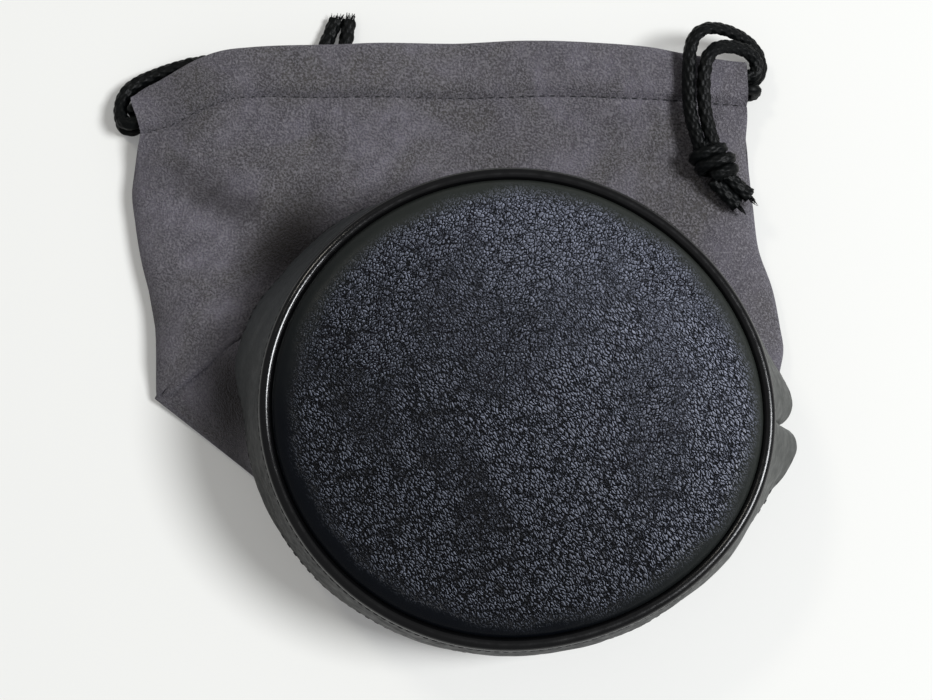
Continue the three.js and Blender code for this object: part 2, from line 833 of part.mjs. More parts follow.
// Cords: two lanes in each hem, the left cord nearer the stitches and the right cord nearer the mouth
const laneShares = { left: 0.38, right: 0.72 };
const upperLaneZ = (x, y) => upperHemZ(x, y) + channelPitch / 2;
const lowerLaneZ = (x, y) => lowerZ(x, y) + channelPitch / 2;

function lanePoint(share, lane, zAt) {
  const y = lerp(stitchY(share), mouthY(share), lane);
  const x = acrossX(share, y);
  return point(x, y, zAt(x, y));
}

// A cord's run goes in at one end of the upper hem, round the far side and back through the lower hem
function cordRun(side) {
  const lane = laneShares[side];
  const order = side === 'left' ? sheetShares : sheetShares.slice().reverse();
  const upper = order.map((share) => lanePoint(share, lane, upperLaneZ));
  const lower = order.slice().reverse().map((share) => lanePoint(share, lane, lowerLaneZ));
  const outward = point(side === 'left' ? cordDiameter : -cordDiameter, 0, 0);
  const high = upper[upper.length - 1];
  const low = lower[0];
  const turn = [
    high.clone().addScaledVector(outward, 0.62),
    high.clone().lerp(low, 0.2).addScaledVector(outward, 0.96),
    high.clone().lerp(low, 0.8).addScaledVector(outward, 0.96),
    low.clone().addScaledVector(outward, 0.62),
  ];
  return cordAlong([...upper, ...turn, ...lower], cordDiameter, 60, cordSides);
}

// Free cord: routes chosen by hand, from the middle of the base
const leftFrontRoute = [
  [-95.8, 76.9, 8.3], [-97.8, 76.0, 7.9], [-99.6, 76.6, 7.2], [-100.8, 78.8, 6.4],
  [-100.9, 82.0, 5.6], [-99.5, 85.4, 5.0], [-96.4, 87.9, 4.8], [-92.2, 89.8, 4.7],
  [-87.4, 91.5, 4.7], [-82.4, 92.7, 4.7], [-77.4, 93.0, 4.6], [-72.0, 91.8, 4.3],
  [-66.6, 90.0, 3.9], [-62.4, 88.3, 3.8], [-59.2, 87.4, 3.8],
];
const leftBackRoute = [
  [-95.8, 76.9, 2.4], [-98.0, 76.0, 2.1], [-100.4, 76.2, 1.8], [-101.6, 78.6, 1.5],
  [-101.7, 82.0, 1.5], [-100.3, 85.6, 1.5], [-97.2, 88.4, 1.5], [-93.0, 90.6, 1.5],
  [-88.0, 92.4, 1.5], [-83.0, 93.8, 1.5], [-77.6, 94.4, 1.5], [-71.8, 93.9, 1.6],
  [-66.8, 92.8, 2.2], [-62.4, 91.5, 3.1], [-58.9, 90.5, 3.9],
];
const leftKnotAt = [-53.2, 89.0, 4.4];
const leftEndRoutes = [
  [[-50.6, 93.6, 3.8], [-49.4, 96.6, 3.2], [-47.8, 100.6, 2.4], [-46.1, 105.2, 1.9]],
  [[-48.0, 91.7, 4.0], [-45.2, 94.6, 3.3], [-43.4, 99.4, 2.3], [-42.7, 105.0, 1.8]],
];
const rightFrontRoute = [
  [60.75, 88.5, 8.3], [62.3, 88.9, 8.3], [62.8, 90.6, 8.6], [62.2, 92.6, 9.3], [60.4, 94.0, 10.6],
  [57.4, 94.7, 12.4], [54.0, 94.4, 14.4], [51.2, 93.2, 16.2], [49.2, 90.8, 17.2],
  [48.2, 87.0, 17.2], [48.0, 82.6, 16.6], [48.3, 77.6, 16.0], [49.1, 73.4, 15.7],
  [50.0, 69.9, 15.6],
];
const rightBackRoute = [
  [60.6, 88.5, 2.4], [62.6, 88.7, 2.4], [64.3, 90.2, 3.0], [64.6, 92.6, 4.2], [63.4, 95.2, 6.2],
  [60.8, 97.4, 8.4], [57.2, 98.8, 10.9], [53.0, 99.3, 13.6], [49.0, 98.6, 16.0],
  [46.0, 96.2, 17.4], [44.6, 92.2, 17.8], [44.2, 87.0, 17.4], [44.2, 81.6, 16.6],
  [44.8, 75.6, 15.9], [46.5, 69.4, 15.6],
];
const rightKnotAt = [50.2, 64.2, 15.8];
const rightEndRoutes = [
  [[54.4, 60.0, 15.2], [56.2, 58.3, 14.6], [57.9, 57.0, 13.9], [59.4, 56.0, 13.2]],
  [[51.3, 58.2, 14.8], [53.1, 56.5, 14.3], [54.8, 54.9, 13.6], [56.4, 53.6, 13.0]],
];

const routed = (route) => route.map((p) => point(...p));

function freeCord(route) {
  return cordAlong(routed(route), cordDiameter, route.length + 2, cordSides);
}

// An overhand knot of the doubled cord: a lump with three turns round it
function knot(at, heading) {
  const middle = point(...at);
  const travel = point(Math.cos(radians(heading)), Math.sin(radians(heading)), 0);
  const side = point(-travel.y, travel.x, 0);
  const ring = (share) => {
    const bulge = Math.sin(Math.PI * share) ** 0.45 * (0.88 + 0.12 * Math.cos(6 * Math.PI * share) ** 2);
    return Array.from({ length: 10 }, (_, j) => {
      const a = (2 * Math.PI * (j + 0.5)) / 10;
      const p = middle.clone().addScaledVector(travel, knotLength * (share - 0.5));
      p.addScaledVector(side, (knotWidth / 2) * bulge * Math.cos(a));
      p.z += (knotHeight / 2) * bulge * Math.sin(a);
      return p;
    });
  };
  const sections = [0.03, 0.12, 0.25, 0.38, 0.5, 0.62, 0.75, 0.88, 0.97].map(ring);
  const start = middle.clone().addScaledVector(travel, -knotLength / 2);
  const end = middle.clone().addScaledVector(travel, knotLength / 2);
  return pod(start, sections, end);
}

// Colours and finishes
const finish = (color, roughness) => new THREE.MeshStandardMaterial({ color, roughness, metalness: 0 });
const leather = finish(0x17191e, 0.45);
const pipingLeather = finish(0x0e0f12, 0.25);
const suede = finish(0x6a6268, 0.95);
const foam = finish(0x3a3a3c, 0.95);
const board = finish(0x8a7c66, 0.8);
const lining = finish(0x2c2b2e, 0.85);
const thread = finish(0x232226, 0.7);
const cord = finish(0x121314, 0.7);

const model = new THREE.Group();
const base = new THREE.Group();
base.position.set(0, 0, baseHeight);
base.rotation.y = baseLean;
model.add(base);

function add(group, name, geometry, material) {
  const mesh = new THREE.Mesh(geometry, material);
  mesh.name = name;
  group.add(mesh);
  return mesh;
}

add(base, 'base_panel', basePanel(), leather);
add(base, 'base_foam', baseFoam(), foam);
add(base, 'base_board', baseBoard(), board);
add(base, 'base_lining', baseLining(), lining);
add(base, 'seam_binding', seamBinding(), lining);
add(base, 'piping_core', pipingCore(), foam);
add(base, 'piping_cover', pipingCover(), pipingLeather);
add(base, 'base_seam_thread', baseSeamThread(), thread);
add(model, 'band', band(), leather);
add(model, 'band_foam', bandFoam(), foam);
add(model, 'band_lining', bandLining(), lining);
add(model, 'band_stitching', bandStitching(), thread);
add(model, 'suede_front', suedeFront(), suede);
add(model, 'suede_back', suedeBack(), suede);
add(model, 'hem_stitching_front', hemStitchingFront(), thread);
add(model, 'hem_stitching_back', hemStitchingBack(), thread);
add(model, 'side_seam_thread_left', sideSeamThread(0), thread);
add(model, 'side_seam_thread_right', sideSeamThread(1), thread);
add(model, 'left_cord_run', cordRun('left'), cord);
add(model, 'right_cord_run', cordRun('right'), cord);

// The free cords are left out of the bounds that set the origin
model.updateMatrixWorld(true);
const bounds = new THREE.Box3().expandByObject(model, true);

const cords = [
  ['left', leftFrontRoute, leftBackRoute, leftKnotAt, 0, leftEndRoutes],
  ['right', rightFrontRoute, rightBackRoute, rightKnotAt, -62, rightEndRoutes],
];
for (const [side, front, back, knotAt, heading, ends] of cords) {
  add(model, `${side}_strand_front`, freeCord(front), cord);
  add(model, `${side}_strand_back`, freeCord(back), cord);
  add(model, `${side}_knot`, knot(knotAt, heading), cord);
  add(model, `${side}_end_front`, freeCord(ends[0]), cord);
  add(model, `${side}_end_back`, freeCord(ends[1]), cord);
}

// The origin goes to the middle of the pouch, on the table
const middle = bounds.getCenter(new THREE.Vector3());
model.position.set(-middle.x, -middle.y, -bounds.min.z);

export default model;
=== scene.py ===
# A drawstring pouch for a camera lens, lying flat with its padded base upward.
# Sizes are in millimetres from the middle of the base, as in the part's source.
# placed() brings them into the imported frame, in metres.
import math

import bpy
import numpy as np
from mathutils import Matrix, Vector


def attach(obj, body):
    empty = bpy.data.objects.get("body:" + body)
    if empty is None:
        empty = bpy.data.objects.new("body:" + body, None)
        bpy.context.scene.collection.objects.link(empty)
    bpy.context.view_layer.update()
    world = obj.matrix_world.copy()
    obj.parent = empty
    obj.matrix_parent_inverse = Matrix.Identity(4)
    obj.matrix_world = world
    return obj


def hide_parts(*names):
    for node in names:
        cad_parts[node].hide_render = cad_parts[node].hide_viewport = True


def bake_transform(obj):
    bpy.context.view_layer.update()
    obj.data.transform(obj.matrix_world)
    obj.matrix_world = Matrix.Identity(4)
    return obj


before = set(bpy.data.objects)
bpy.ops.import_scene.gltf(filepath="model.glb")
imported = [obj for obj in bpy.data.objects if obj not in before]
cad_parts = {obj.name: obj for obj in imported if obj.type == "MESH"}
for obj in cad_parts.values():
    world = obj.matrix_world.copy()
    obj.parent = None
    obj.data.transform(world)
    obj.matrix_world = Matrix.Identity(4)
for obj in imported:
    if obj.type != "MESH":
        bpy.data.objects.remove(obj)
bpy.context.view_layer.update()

MM = 0.001
ORIGIN = np.array([14.873, -19.039, 0.0])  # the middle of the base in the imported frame
UP = (0, 0, 1)

# Camera of the photograph
CAMERA_AT = (-11.8, -45.4, 454.9)
CAMERA_AIM = (-11.8, 18.5, 0.0)
PHOTO_FOCAL_PIXELS = 1792
PHOTO_WIDTH_PIXELS = 933
SENSOR_WIDTH = 36.0

# Light and table, in metres and watts
WINDOW = {"at": (1.1, -0.07, 1.7), "size": 0.62, "power": 38.0, "colour": (0.96, 0.975, 1.0)}
LAMP = {"at": (-0.36, 0.42, 0.78), "size": 0.14, "power": 0.8, "colour": (1.0, 0.95, 0.84)}
SKY_COLOUR = (0.97, 0.98, 1.0, 1)
SKY_STRENGTH = 0.25
TABLE_REACH = 1.6
TABLE_DROP = 0.0002
TABLE_LIFT = 0.14  # how much lighter the camera sees the table

# Base
BASE_RADIUS = 57.1
BASE_HEIGHT = 37.0
BASE_LEAN = math.radians(2.5)
# How the base is pressed out of round: waves round it, and their cosine and sine shares
PRESS_SHARES = [(2, 0.033, -0.004), (3, 0.006, -0.005), (4, 0.004, -0.004)]
CLEARANCE = 0.35
PIPING_RADIUS = 1.55
NOISE_RADIUS = 57  # the piping's noise is taken round a circle of this size
PANEL_THICKNESS = 0.9
PANEL_EDGE_LEAN = 0.45  # the soft edge leans on the piping
PANEL_EDGE_HEIGHT = 3.9
PANEL_CROWN_HEIGHT = 5.6
PANEL_ROLL_WIDTH = 6.5
PANEL_TUCK = 1.4
GRAIN_FADE_WIDTH = 6.0
THREAD = 0.45

# Band
BAND_HEIGHT = 21.1
BAND_THICKNESS = 1.0
BAND_BULGE = 0.7
BAND_CURVE = 1.3  # above 1, the band leans out more toward its lower edge
BAND_TUCK = [(-0.3, -1.95), (-0.75, -1.85)]  # inset and height of the top edge, below the piping
BAND_SEAM_ANGLE = -2.2
BAND_SEAM_GAP = 0.4
BAND_COLUMNS = 46  # places round the band, closer together near its seam
BAND_CROWDING = 0.7
LEFT_SEAM_COLUMN = 22
BAND_STITCH_LENGTH = 1.3
STITCH_INSET = 0.7
SUEDE_OVERLAP = 4.2

# Bag
SUEDE = 0.7
FLAT_WIDTH = 158.0
FLAT_REACH = 96.3
LEAF_HEIGHT = 1.4
THROAT_HEIGHT = 8.8
SIDE_SEAM_HEIGHT = 3.3
SIDE_ROUND = 12.0
BEND_HEIGHT = 1.5
MOUTH_GAP = 4.7
SIDE_MOUTH_GAP = 1.1
MOUTH_ROUND = 24.0
PUFF_HEIGHT = 6.0
PUFF_WIDTH = 13.0
KNOT_ROOM = 8.9
RIDGE_SHARE = 0.142
RIDGE_CURVE = 1.8
RIDGE_RADIUS = 1.35
LEAF_LIMIT_SHARE = 0.955
CREASE_STRENGTH = 1.4
HEM_STITCH_PITCH = 2.6
HEM_STITCH_LENGTH = 1.7
HEM_STITCH_RADIUS = 0.26
HEM_STITCH_LIFT = 0.02
HEM_STITCH_INSET = 0.15
PUCKER_DEPTH = 0.34
PUCKER_WIDTH = 0.75
PUCKER_BEYOND = 0.3
HEM_CORNER = 2.4  # the hem's left end spreads this far
HEM_CORNER_FROM = 73.5
HEM_CORNER_RISE = 9

# Cords
CORD = 2.8
CORD_CLEARANCE = 0.35
CORD_FLATNESS = 0.88  # a free cord lies slightly flattened
STRANDS = 6  # strands of the braid in each direction
BRAID_STEP = 3.6
BRAID_LOW_SHARE = 0.8
BRAID_RISE_SHARE = 0.32
KNOT_LENGTH = 11.0
KNOT_WIDTH = 10.0
KNOT_HEIGHT = 7.8
KNOT_TURNS = 2.75  # half turns of the cord on each side of its middle
TAIL_FIBRES = 34
FIBRE_LOWEST = 0.15

# Worked out from the sizes above
CORD_RADIUS = CORD / 2
CHANNEL_PITCH = CORD + 2 * CORD_CLEARANCE + SUEDE
HEM = CHANNEL_PITCH + SUEDE
HALF = SUEDE / 2
SEWN_DEPTH = (BAND_THICKNESS + SUEDE) / 2 + CLEARANCE
BAND_TOP_INSET = -(THREAD / 2 + CLEARANCE + BAND_THICKNESS / 2)
BAND_TOP_HEIGHT = -(PIPING_RADIUS + CLEARANCE)
LOWER_Z = HALF
UPPER_Z = SUEDE + THROAT_HEIGHT + HALF
UPPER_SIDE_Z = SIDE_SEAM_HEIGHT + (SUEDE + CLEARANCE) / 2
LOWER_SIDE_Z = SIDE_SEAM_HEIGHT - (SUEDE + CLEARANCE) / 2

# Unevenness: the height of each noise, the size of its largest swells, and its seed
UNEVEN = {
    "grain edge": (0.24, 9, 5),
    "panel swells": (0.26, 15, 11),
    "panel dimples": (0.1, 4, 23),
    "piping": (0.03, 7, 31),
    "band": (0.3, 9, 51),
    "band edge": (0.22, 5, 61),
    "sheet swells": (0.95, 18, 71),
    "sheet dimples": (0.26, 5.5, 83),
    "hem": (0.22, 6, 91),
    "near wall": (0.5, 14, 101),
    "ridge": (0.1, 6, 111),
}
NOISE_TABLE = 64  # random values along each side of a noise's table
NOISE_START = 1000  # the cell of it at zero


class Shares:
    """A smooth curve through a table of (at, value), which are shares of the two sizes."""

    def __init__(self, table, reach=1, size=1):
        self.at, self.value = np.array(table, float).T
        self.reach, self.size = reach, size
        before = np.maximum(np.arange(len(table)) - 1, 0)
        after = np.minimum(np.arange(len(table)) + 1, len(table) - 1)
        self.slope = (self.value[after] - self.value[before]) / (self.at[after] - self.at[before])

    def __call__(self, at):
        at = np.clip(np.asarray(at, float) / self.reach, self.at[0], self.at[-1])
        i = np.clip(np.searchsorted(self.at, at, side="left") - 1, 0, len(self.at) - 2)
        w = self.at[i + 1] - self.at[i]
        t = (at - self.at[i]) / w
        return self.size * (
            (1 + 2 * t) * (1 - t) ** 2 * self.value[i]
            + t * (1 - t) ** 2 * w * self.slope[i]
            + t * t * (3 - 2 * t) * self.value[i + 1]
            + t * t * (t - 1) * w * self.slope[i + 1]
        )


# Outlines of the flat bag. The side edges are shares of its width at shares of its reach, and the
# fold, the stitches and the mouth are shares of its reach at shares of the way across.
left_x = Shares([
    (0.063, -0.57), (0.27, -0.576), (0.43, -0.6), (0.53, -0.611), (0.62, -0.617), (0.76, -0.603),
    (0.86, -0.602), (1, -0.602),
], FLAT_REACH, FLAT_WIDTH)
right_x = Shares([
    (-0.093, 0.408), (0, 0.417), (0.11, 0.424), (0.185, 0.433), (0.24, 0.429), (0.346, 0.418),
    (0.453, 0.397), (0.575, 0.389), (0.726, 0.379), (0.84, 0.381), (1, 0.378),
], FLAT_REACH, FLAT_WIDTH)
fold_y = Shares([
    (0, 0.063), (0.07, 0.135), (0.142, 0.213), (0.2, 0.22), (0.3, 0.2), (0.5, 0.12), (0.75, 0.02),
    (1, -0.093),
], 1, FLAT_REACH)
stitch_y = Shares([
    (0, 0.761), (0.053, 0.778), (0.103, 0.807), (0.17, 0.834), (0.318, 0.834), (0.594, 0.85),
    (0.69, 0.854), (0.89, 0.842), (1, 0.838),
], 1, FLAT_REACH)
mouth_y = Shares([
    (0, 0.856), (0.02, 0.884), (0.105, 0.945), (0.188, 0.966), (0.335, 0.974), (0.513, 0.99), (0.61, 1),
    (0.69, 1), (0.82, 0.987), (0.89, 0.97), (1, 0.952),
], 1, FLAT_REACH)
# How far the band leans out, as a share of its height with the piping, at degrees round the base
flare = Shares([
    (-2.2, 0.157), (-0.6, 0.309), (2.2, 0.391), (5, 0.387), (8.5, 0.339), (13.7, 0.27), (19.7, 0.226),
    (26, 0.174), (40, 0.115), (60, 0.11), (90, 0.12), (105, 0.157), (120, 0.243), (132, 0.339),
    (142, 0.365), (150, 0.396), (157, 0.452), (164, 0.461), (171, 0.43), (180, 0.317), (190, 0.287),
    (202, 0.248), (220, 0.209), (232, 0.165), (257, 0.115), (281, 0.115), (300, 0.148), (312, 0.143),
    (326, 0.18), (335, 0.178), (341.7, 0.239), (344, 0.257), (348, 0.352), (351.3, 0.409), (354, 0.426),
    (356.6, 0.357), (357.8, 0.157),
], 1, BAND_HEIGHT - BAND_TOP_HEIGHT)
# Where the near wall meets the table: shares of the base's radius, from one angle to another
land_reach = Shares([
    (196, 1.11), (215, 1.0), (240, 0.965), (270, 0.955), (300, 0.97), (325, 1.0), (340, 1.03),
], 1, BASE_RADIUS)
LAND_FROM = 196
LAND_TO = 340
# A hem's section: shares of the way out to the mouth and of the way up through the hem
HEM_SHARES = [
    (0, 0.38), (0.11, 0.78), (0.24, 1), (0.86, 1), (0.96, 0.82), (1, 0.5), (0.96, 0.18), (0.86, 0),
    (0.24, 0), (-0.12, 0.12),
]
# The bag rises over the left knot, between shares of the width and of the reach
BUMP = {"from": -0.63, "full_from": -0.44, "full_to": -0.25, "to": -0.05, "low": 0.45, "high": 0.84}
# Each cord's lane in the hems, as a share of the way from the stitches to the mouth
LANES = {"left": 0.38, "right": 0.72}
# Creases that press the upper sheet in, and soft swells: ends, width and height
CREASES = [
    ((-92, 34), (-70, 44), 2.2, -0.7), ((-90, 58), (-66, 66), 2.6, -0.6),
    ((-44, 70), (-43, 79), 0.9, -0.5), ((-51, 68), (-51, 78), 1.1, -0.45),
    ((12, 72), (13, 79), 0.8, -0.3), ((48, 62), (52, 79), 1.6, -0.5), ((-80, 78), (-56, 79), 1.6, -0.5),
    ((-74, 16), (-58, 30), 3.0, 0.8), ((-66, 52), (-56, 62), 5.0, 0.9),
    ((-84, 44), (-74, 52), 5.0, 0.8), ((-20, 68), (30, 71), 3.0, 0.35),
]


# Helpers for numbers
def lerp(a, b, t):
    return a + (b - a) * t


def smooth(t):
    t = np.clip(t, 0, 1)
    return t * t * (3 - 2 * t)


def stacked(x, y, z):
    return np.stack(np.broadcast_arrays(x, y, z), axis=-1).astype(float)


def unit(v):
    return v / np.maximum(np.linalg.norm(v, axis=-1, keepdims=True), 1e-9)


def placed(points):
    return (np.asarray(points, float) + ORIGIN) * MM


def crowded(share, crowding):
    """Shares from 0 to 1, drawn toward both ends."""
    share = np.asarray(share, float)
    return share - crowding * np.sin(2 * np.pi * share) / (2 * np.pi)


def band_degrees(column):
    return BAND_SEAM_ANGLE + 360 * crowded(np.asarray(column, float) / BAND_COLUMNS, BAND_CROWDING)


def catmull(rows, per):
    """More rows through the same control rows, smoothly, with per steps between them."""
    rows = np.asarray(rows, float)
    out = []
    last = len(rows) - 1
    for i in range(last):
        a, b, c, d = rows[max(i - 1, 0)], rows[i], rows[i + 1], rows[min(i + 2, last)]
        for t in np.arange(per) / per:
            out.append(
                0.5 * (2 * b + (c - a) * t + (2 * a - 5 * b + 4 * c - d) * t**2
                       + (3 * b - a - 3 * c + d) * t**3)
            )
    out.append(rows[last])
    return np.array(out)


def rounded_line(points):
    """Cuts the corners of an open line twice, and keeps its ends."""
    line = np.asarray(points, float)
    for _ in range(2):
        a, b = line[:-1], line[1:]
        cut = np.stack([lerp(a, b, 0.25), lerp(a, b, 0.75)], axis=1).reshape(-1, line.shape[1])
        line = np.concatenate([line[:1], cut[1:-1], line[-1:]])
    return line


def distances(line):
    """How far along a line each of its points is."""
    return np.concatenate([[0], np.cumsum(np.linalg.norm(np.diff(line, axis=0), axis=1))])


def even_path(points, step):
    """A smooth line through the points, with even steps."""
    line = catmull(points, 12)
    gone = distances(line)
    at = np.linspace(0, gone[-1], max(3, int(gone[-1] / step) + 1))
    return np.stack([np.interp(at, gone, line[:, k]) for k in range(3)], axis=1), at


def noise(x, y, cell, seed):
    """Smooth random values from -1 to 1, with swells about a cell across."""
    table = np.random.default_rng(seed).random((NOISE_TABLE, NOISE_TABLE)) * 2 - 1
    u = np.asarray(x, float) / cell + NOISE_START
    v = np.asarray(y, float) / cell + NOISE_START
    i, j = np.floor(u).astype(int), np.floor(v).astype(int)
    s, t = smooth(u - i), smooth(v - j)
    at = lambda a, b: table[a % NOISE_TABLE, b % NOISE_TABLE]
    return lerp(lerp(at(i, j), at(i + 1, j), s), lerp(at(i, j + 1), at(i + 1, j + 1), s), t)


def uneven(x, y, name):
    """Noise of three sizes, each half as wide and half as high as the last."""
    height, cell, seed = UNEVEN[name]
    total = sum(noise(x, y, cell / 2**k, seed + k) / 2**k for k in range(3))
    return height * (total / (1 + 1 / 2 + 1 / 4))


# Helpers for meshes
def grid_faces(high, wide, ring=False, start=0, turned=False):
    columns = wide if ring else wide - 1
    i, j = np.meshgrid(np.arange(high - 1), np.arange(columns), indexing="ij")
    k = (j + 1) % wide
    faces = np.stack([i * wide + j, (i + 1) * wide + j, (i + 1) * wide + k, i * wide + k], axis=-1)
    faces = faces.reshape(-1, 4) + start
    return faces[:, ::-1] if turned else faces


def grid_normals(points, ring=False):
    if ring:
        across = np.roll(points, -1, axis=1) - np.roll(points, 1, axis=1)
    else:
        across = np.gradient(points, axis=1)
    return unit(np.cross(across, np.gradient(points, axis=0)))


def shell(points, thickness):
    """A closed skin of a thickness round a grid of points: its points and its faces."""
    high, wide = points.shape[:2]
    n = high * wide
    reach = grid_normals(points) * thickness / 2
    skins = np.concatenate([(points + reach).reshape(-1, 3), (points - reach).reshape(-1, 3)])
    j = np.arange(wide - 1)
    k = j + 1
    low = n - wide
    i = np.arange(high - 1) * wide
    r = i + wide - 1
    edges = [[n + j, n + k, k, j], [low + k, n + low + k, n + low + j, low + j],
             [i + wide, n + i + wide, n + i, i], [n + r, n + r + wide, r + wide, r]]
    faces = [grid_faces(high, wide, turned=True), grid_faces(high, wide, start=n)]
    faces += [np.stack(edge, axis=-1) for edge in edges]
    return skins, np.concatenate(faces).tolist()


def joined(parts):
    faces, count = [], 0
    for points, own in parts:
        faces += [[corner + count for corner in face] for face in own]
        count += len(points)
    return np.concatenate([points for points, _ in parts]), faces


def added(name, data):
    thing = bpy.data.objects.new(name, data)
    bpy.context.scene.collection.objects.link(thing)
    return thing


def piece(name, parts, material, node, body="pouch", sharp=50):
    """A mesh object of the model, from (points, faces) in millimetres, in a node's place."""
    points, faces = joined(parts)
    mesh = bpy.data.meshes.new(name)
    mesh.from_pydata(placed(points).tolist(), [], faces)
    mesh.update()
    mesh.shade_smooth()
    mesh.set_sharp_from_angle(angle=math.radians(sharp))
    mesh.materials.append(material)
    thing = added(name, mesh)
    if body:
        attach(thing, body)
    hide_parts(node)
    return thing


def frames(line, level):
    """Two directions across a line at each point, without a twist, or with the first one level."""
    travel = unit(np.gradient(line, axis=0))
    if level:
        sides = unit(np.cross(travel, UP))
        return sides, np.cross(sides, travel)
    sides = [unit(np.cross(travel[0], UP))]
    for t in travel[1:]:
        sides.append(unit(sides[-1] - t * np.dot(sides[-1], t)))
    sides = np.array(sides)
    return sides, np.cross(sides, travel)


def tube(line, radius, sides, level=False):
    """A closed tube along a line, with a radius for each point, or for each point and side."""
    side, rise = frames(line, level)
    a = 2 * np.pi * np.arange(sides) / sides
    ring = side[:, None] * np.cos(a)[None, :, None] + rise[:, None] * np.sin(a)[None, :, None]
    if np.ndim(radius) < 2:
        radius = np.reshape(radius, (-1, 1))
    points = (line[:, None] + ring * radius[..., None]).reshape(-1, 3)
    faces = grid_faces(len(line), sides, True).tolist()
    n = len(points)
    last = n - sides
    for j in range(sides):
        k = (j + 1) % sides
        faces.append([n, j, k])
        faces.append([n + 1, last + k, last + j])
    return np.concatenate([points, line[:1], line[-1:]]), faces


def braid(line, gone, radius, sides=30, phase=0.0, flatness=1.0):
    """A braided cord along a line: strands that pass over and under each other."""
    a = 2 * np.pi * np.arange(sides) / sides + phase
    turned = STRANDS * a[None, :] / (2 * np.pi)
    along = gone[:, None] / BRAID_STEP
    u, v = turned + along, turned - along
    fu, fv = u - np.floor(u), v - np.floor(v)
    even = (np.floor(u) + np.floor(v)) % 2 == 0
    over = np.where(even, fu, fv)
    cross = np.where(even, fv, fu)
    height = np.sqrt(np.clip(1 - (2 * over - 1) ** 2, 0, 1)) * (0.45 + 0.55 * np.sin(np.pi * cross))
    flat = 1 / np.sqrt((np.cos(a) * flatness) ** 2 + (np.sin(a) / flatness) ** 2)
    radius = np.reshape(radius, (-1, 1)) * (BRAID_LOW_SHARE + BRAID_RISE_SHARE * height) * flat
    return tube(line, radius, sides, level=flatness < 1)


def stitches(line_at, count, length, radius):
    """Single stitches with round ends along a line. line_at gives the points for shares of it."""
    at = (np.arange(count) + 0.5) / count
    ahead = unit(line_at(at + 0.2 / count) - line_at(at - 0.2 / count))
    along = np.array([-0.5, -0.44, -0.3, 0.0, 0.3, 0.44, 0.5])[:, None] * length
    thick = np.array([0.25, 0.7, 1.0, 1.06, 1.0, 0.7, 0.25]) * radius
    return [tube(middle + along * way, thick, 6) for middle, way in zip(line_at(at), ahead)]


# Materials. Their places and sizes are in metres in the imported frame.
ANY_HEIGHT = 1000  # stretches an area so far up and down that heights don't count


class Look:
    """A material, with short ways to add its nodes."""

    def __init__(self, name, colour, roughness, **values):
        self.material = bpy.data.materials.new(name)
        self.material.use_nodes = True
        self.tree = self.material.node_tree
        self.shader = self.tree.nodes["Principled BSDF"]
        self.shader.inputs["Base Color"].default_value = (*colour, 1)
        self.shader.inputs["Roughness"].default_value = roughness
        for key, value in values.items():
            self.shader.inputs[key.replace("_", " ")].default_value = value

    def node(self, kind, sockets=None, **settings):
        node = self.tree.nodes.new("ShaderNode" + kind)
        for key, value in settings.items():
            setattr(node, key, value)
        for key, value in (sockets or {}).items():
            if isinstance(value, bpy.types.NodeSocket):
                self.tree.links.new(value, node.inputs[key])
            else:
                node.inputs[key].default_value = value
        return node

    def place(self):
        return self.node("TexCoord").outputs["Object"]

    def axis(self, letter):
        return self.node("SeparateXYZ", {"Vector": self.place()}).outputs[letter]

    def drawn_out(self, degrees, longer, at=None, centre=(0, 0, 0), higher=1):
        """Places for a pattern drawn out along one direction, in degrees from +X."""
        sockets = {"Vector": at or self.place(), "Rotation": (0, 0, math.radians(degrees)),
                   "Location": centre, "Scale": (longer, 1, higher)}
        return self.node("Mapping", sockets, vector_type="TEXTURE").outputs["Vector"]

    def noise(self, scale, detail=2.0, at=None, distortion=0.0, output="Fac"):
        sockets = {"Vector": at or self.place(), "Scale": scale, "Detail": detail,
                   "Distortion": distortion}
        return self.node("TexNoise", sockets).outputs[output]

    def cells(self, scale, at):
        """How far each place is from the edge of its cell."""
        sockets = {"Vector": at, "Scale": scale}
        return self.node("TexVoronoi", sockets, feature="DISTANCE_TO_EDGE").outputs["Distance"]

    def near(self, centre, outer, inner, degrees, longer):
        """1 within inner of an upright line and 0 beyond outer, drawn out along one direction."""
        drawn_out = self.drawn_out(degrees, longer, None, centre, ANY_HEIGHT)
        away = self.node("VectorMath", {0: drawn_out}, operation="LENGTH")
        return self.ranged(away.outputs["Value"], outer, inner, soft=True)

    def ranged(self, value, low, high, to_low=0.0, to_high=1.0, soft=False):
        sockets = {"Value": value, "From Min": low, "From Max": high, "To Min": to_low,
                   "To Max": to_high}
        form = "SMOOTHSTEP" if soft else "LINEAR"
        return self.node("MapRange", sockets, interpolation_type=form).outputs["Result"]

    def math(self, operation, a, b):
        return self.node("Math", {0: a, 1: b}, operation=operation).outputs[0]

    def vector(self, operation, a, b):
        return self.node("VectorMath", {0: a, 1: b}, operation=operation).outputs[0]

    def warped(self, at, scale, amount):
        """Places pushed about by noise, for shapes that aren't regular."""
        push = self.vector("SUBTRACT", self.noise(scale, at=at, output="Color"), (0.5, 0.5, 0.5))
        return self.vector("ADD", at, self.vector("MULTIPLY", push, (amount, amount, amount)))

    def mixed(self, factor, a, b):
        a, b = (end if isinstance(end, bpy.types.NodeSocket) else (*end, 1) for end in (a, b))
        return self.node("Mix", {"Factor": factor, 6: a, 7: b}, data_type="RGBA").outputs[2]

    def set(self, key, socket):
        self.tree.links.new(socket, self.shader.inputs[key])

    def bump(self, height, distance, strength=1.0, under=None):
        sockets = {"Height": height, "Distance": distance, "Strength": strength}
        if under is not None:
            sockets["Normal"] = under
        normal = self.node("Bump", sockets).outputs["Normal"]
        self.set("Normal", normal)
        return normal


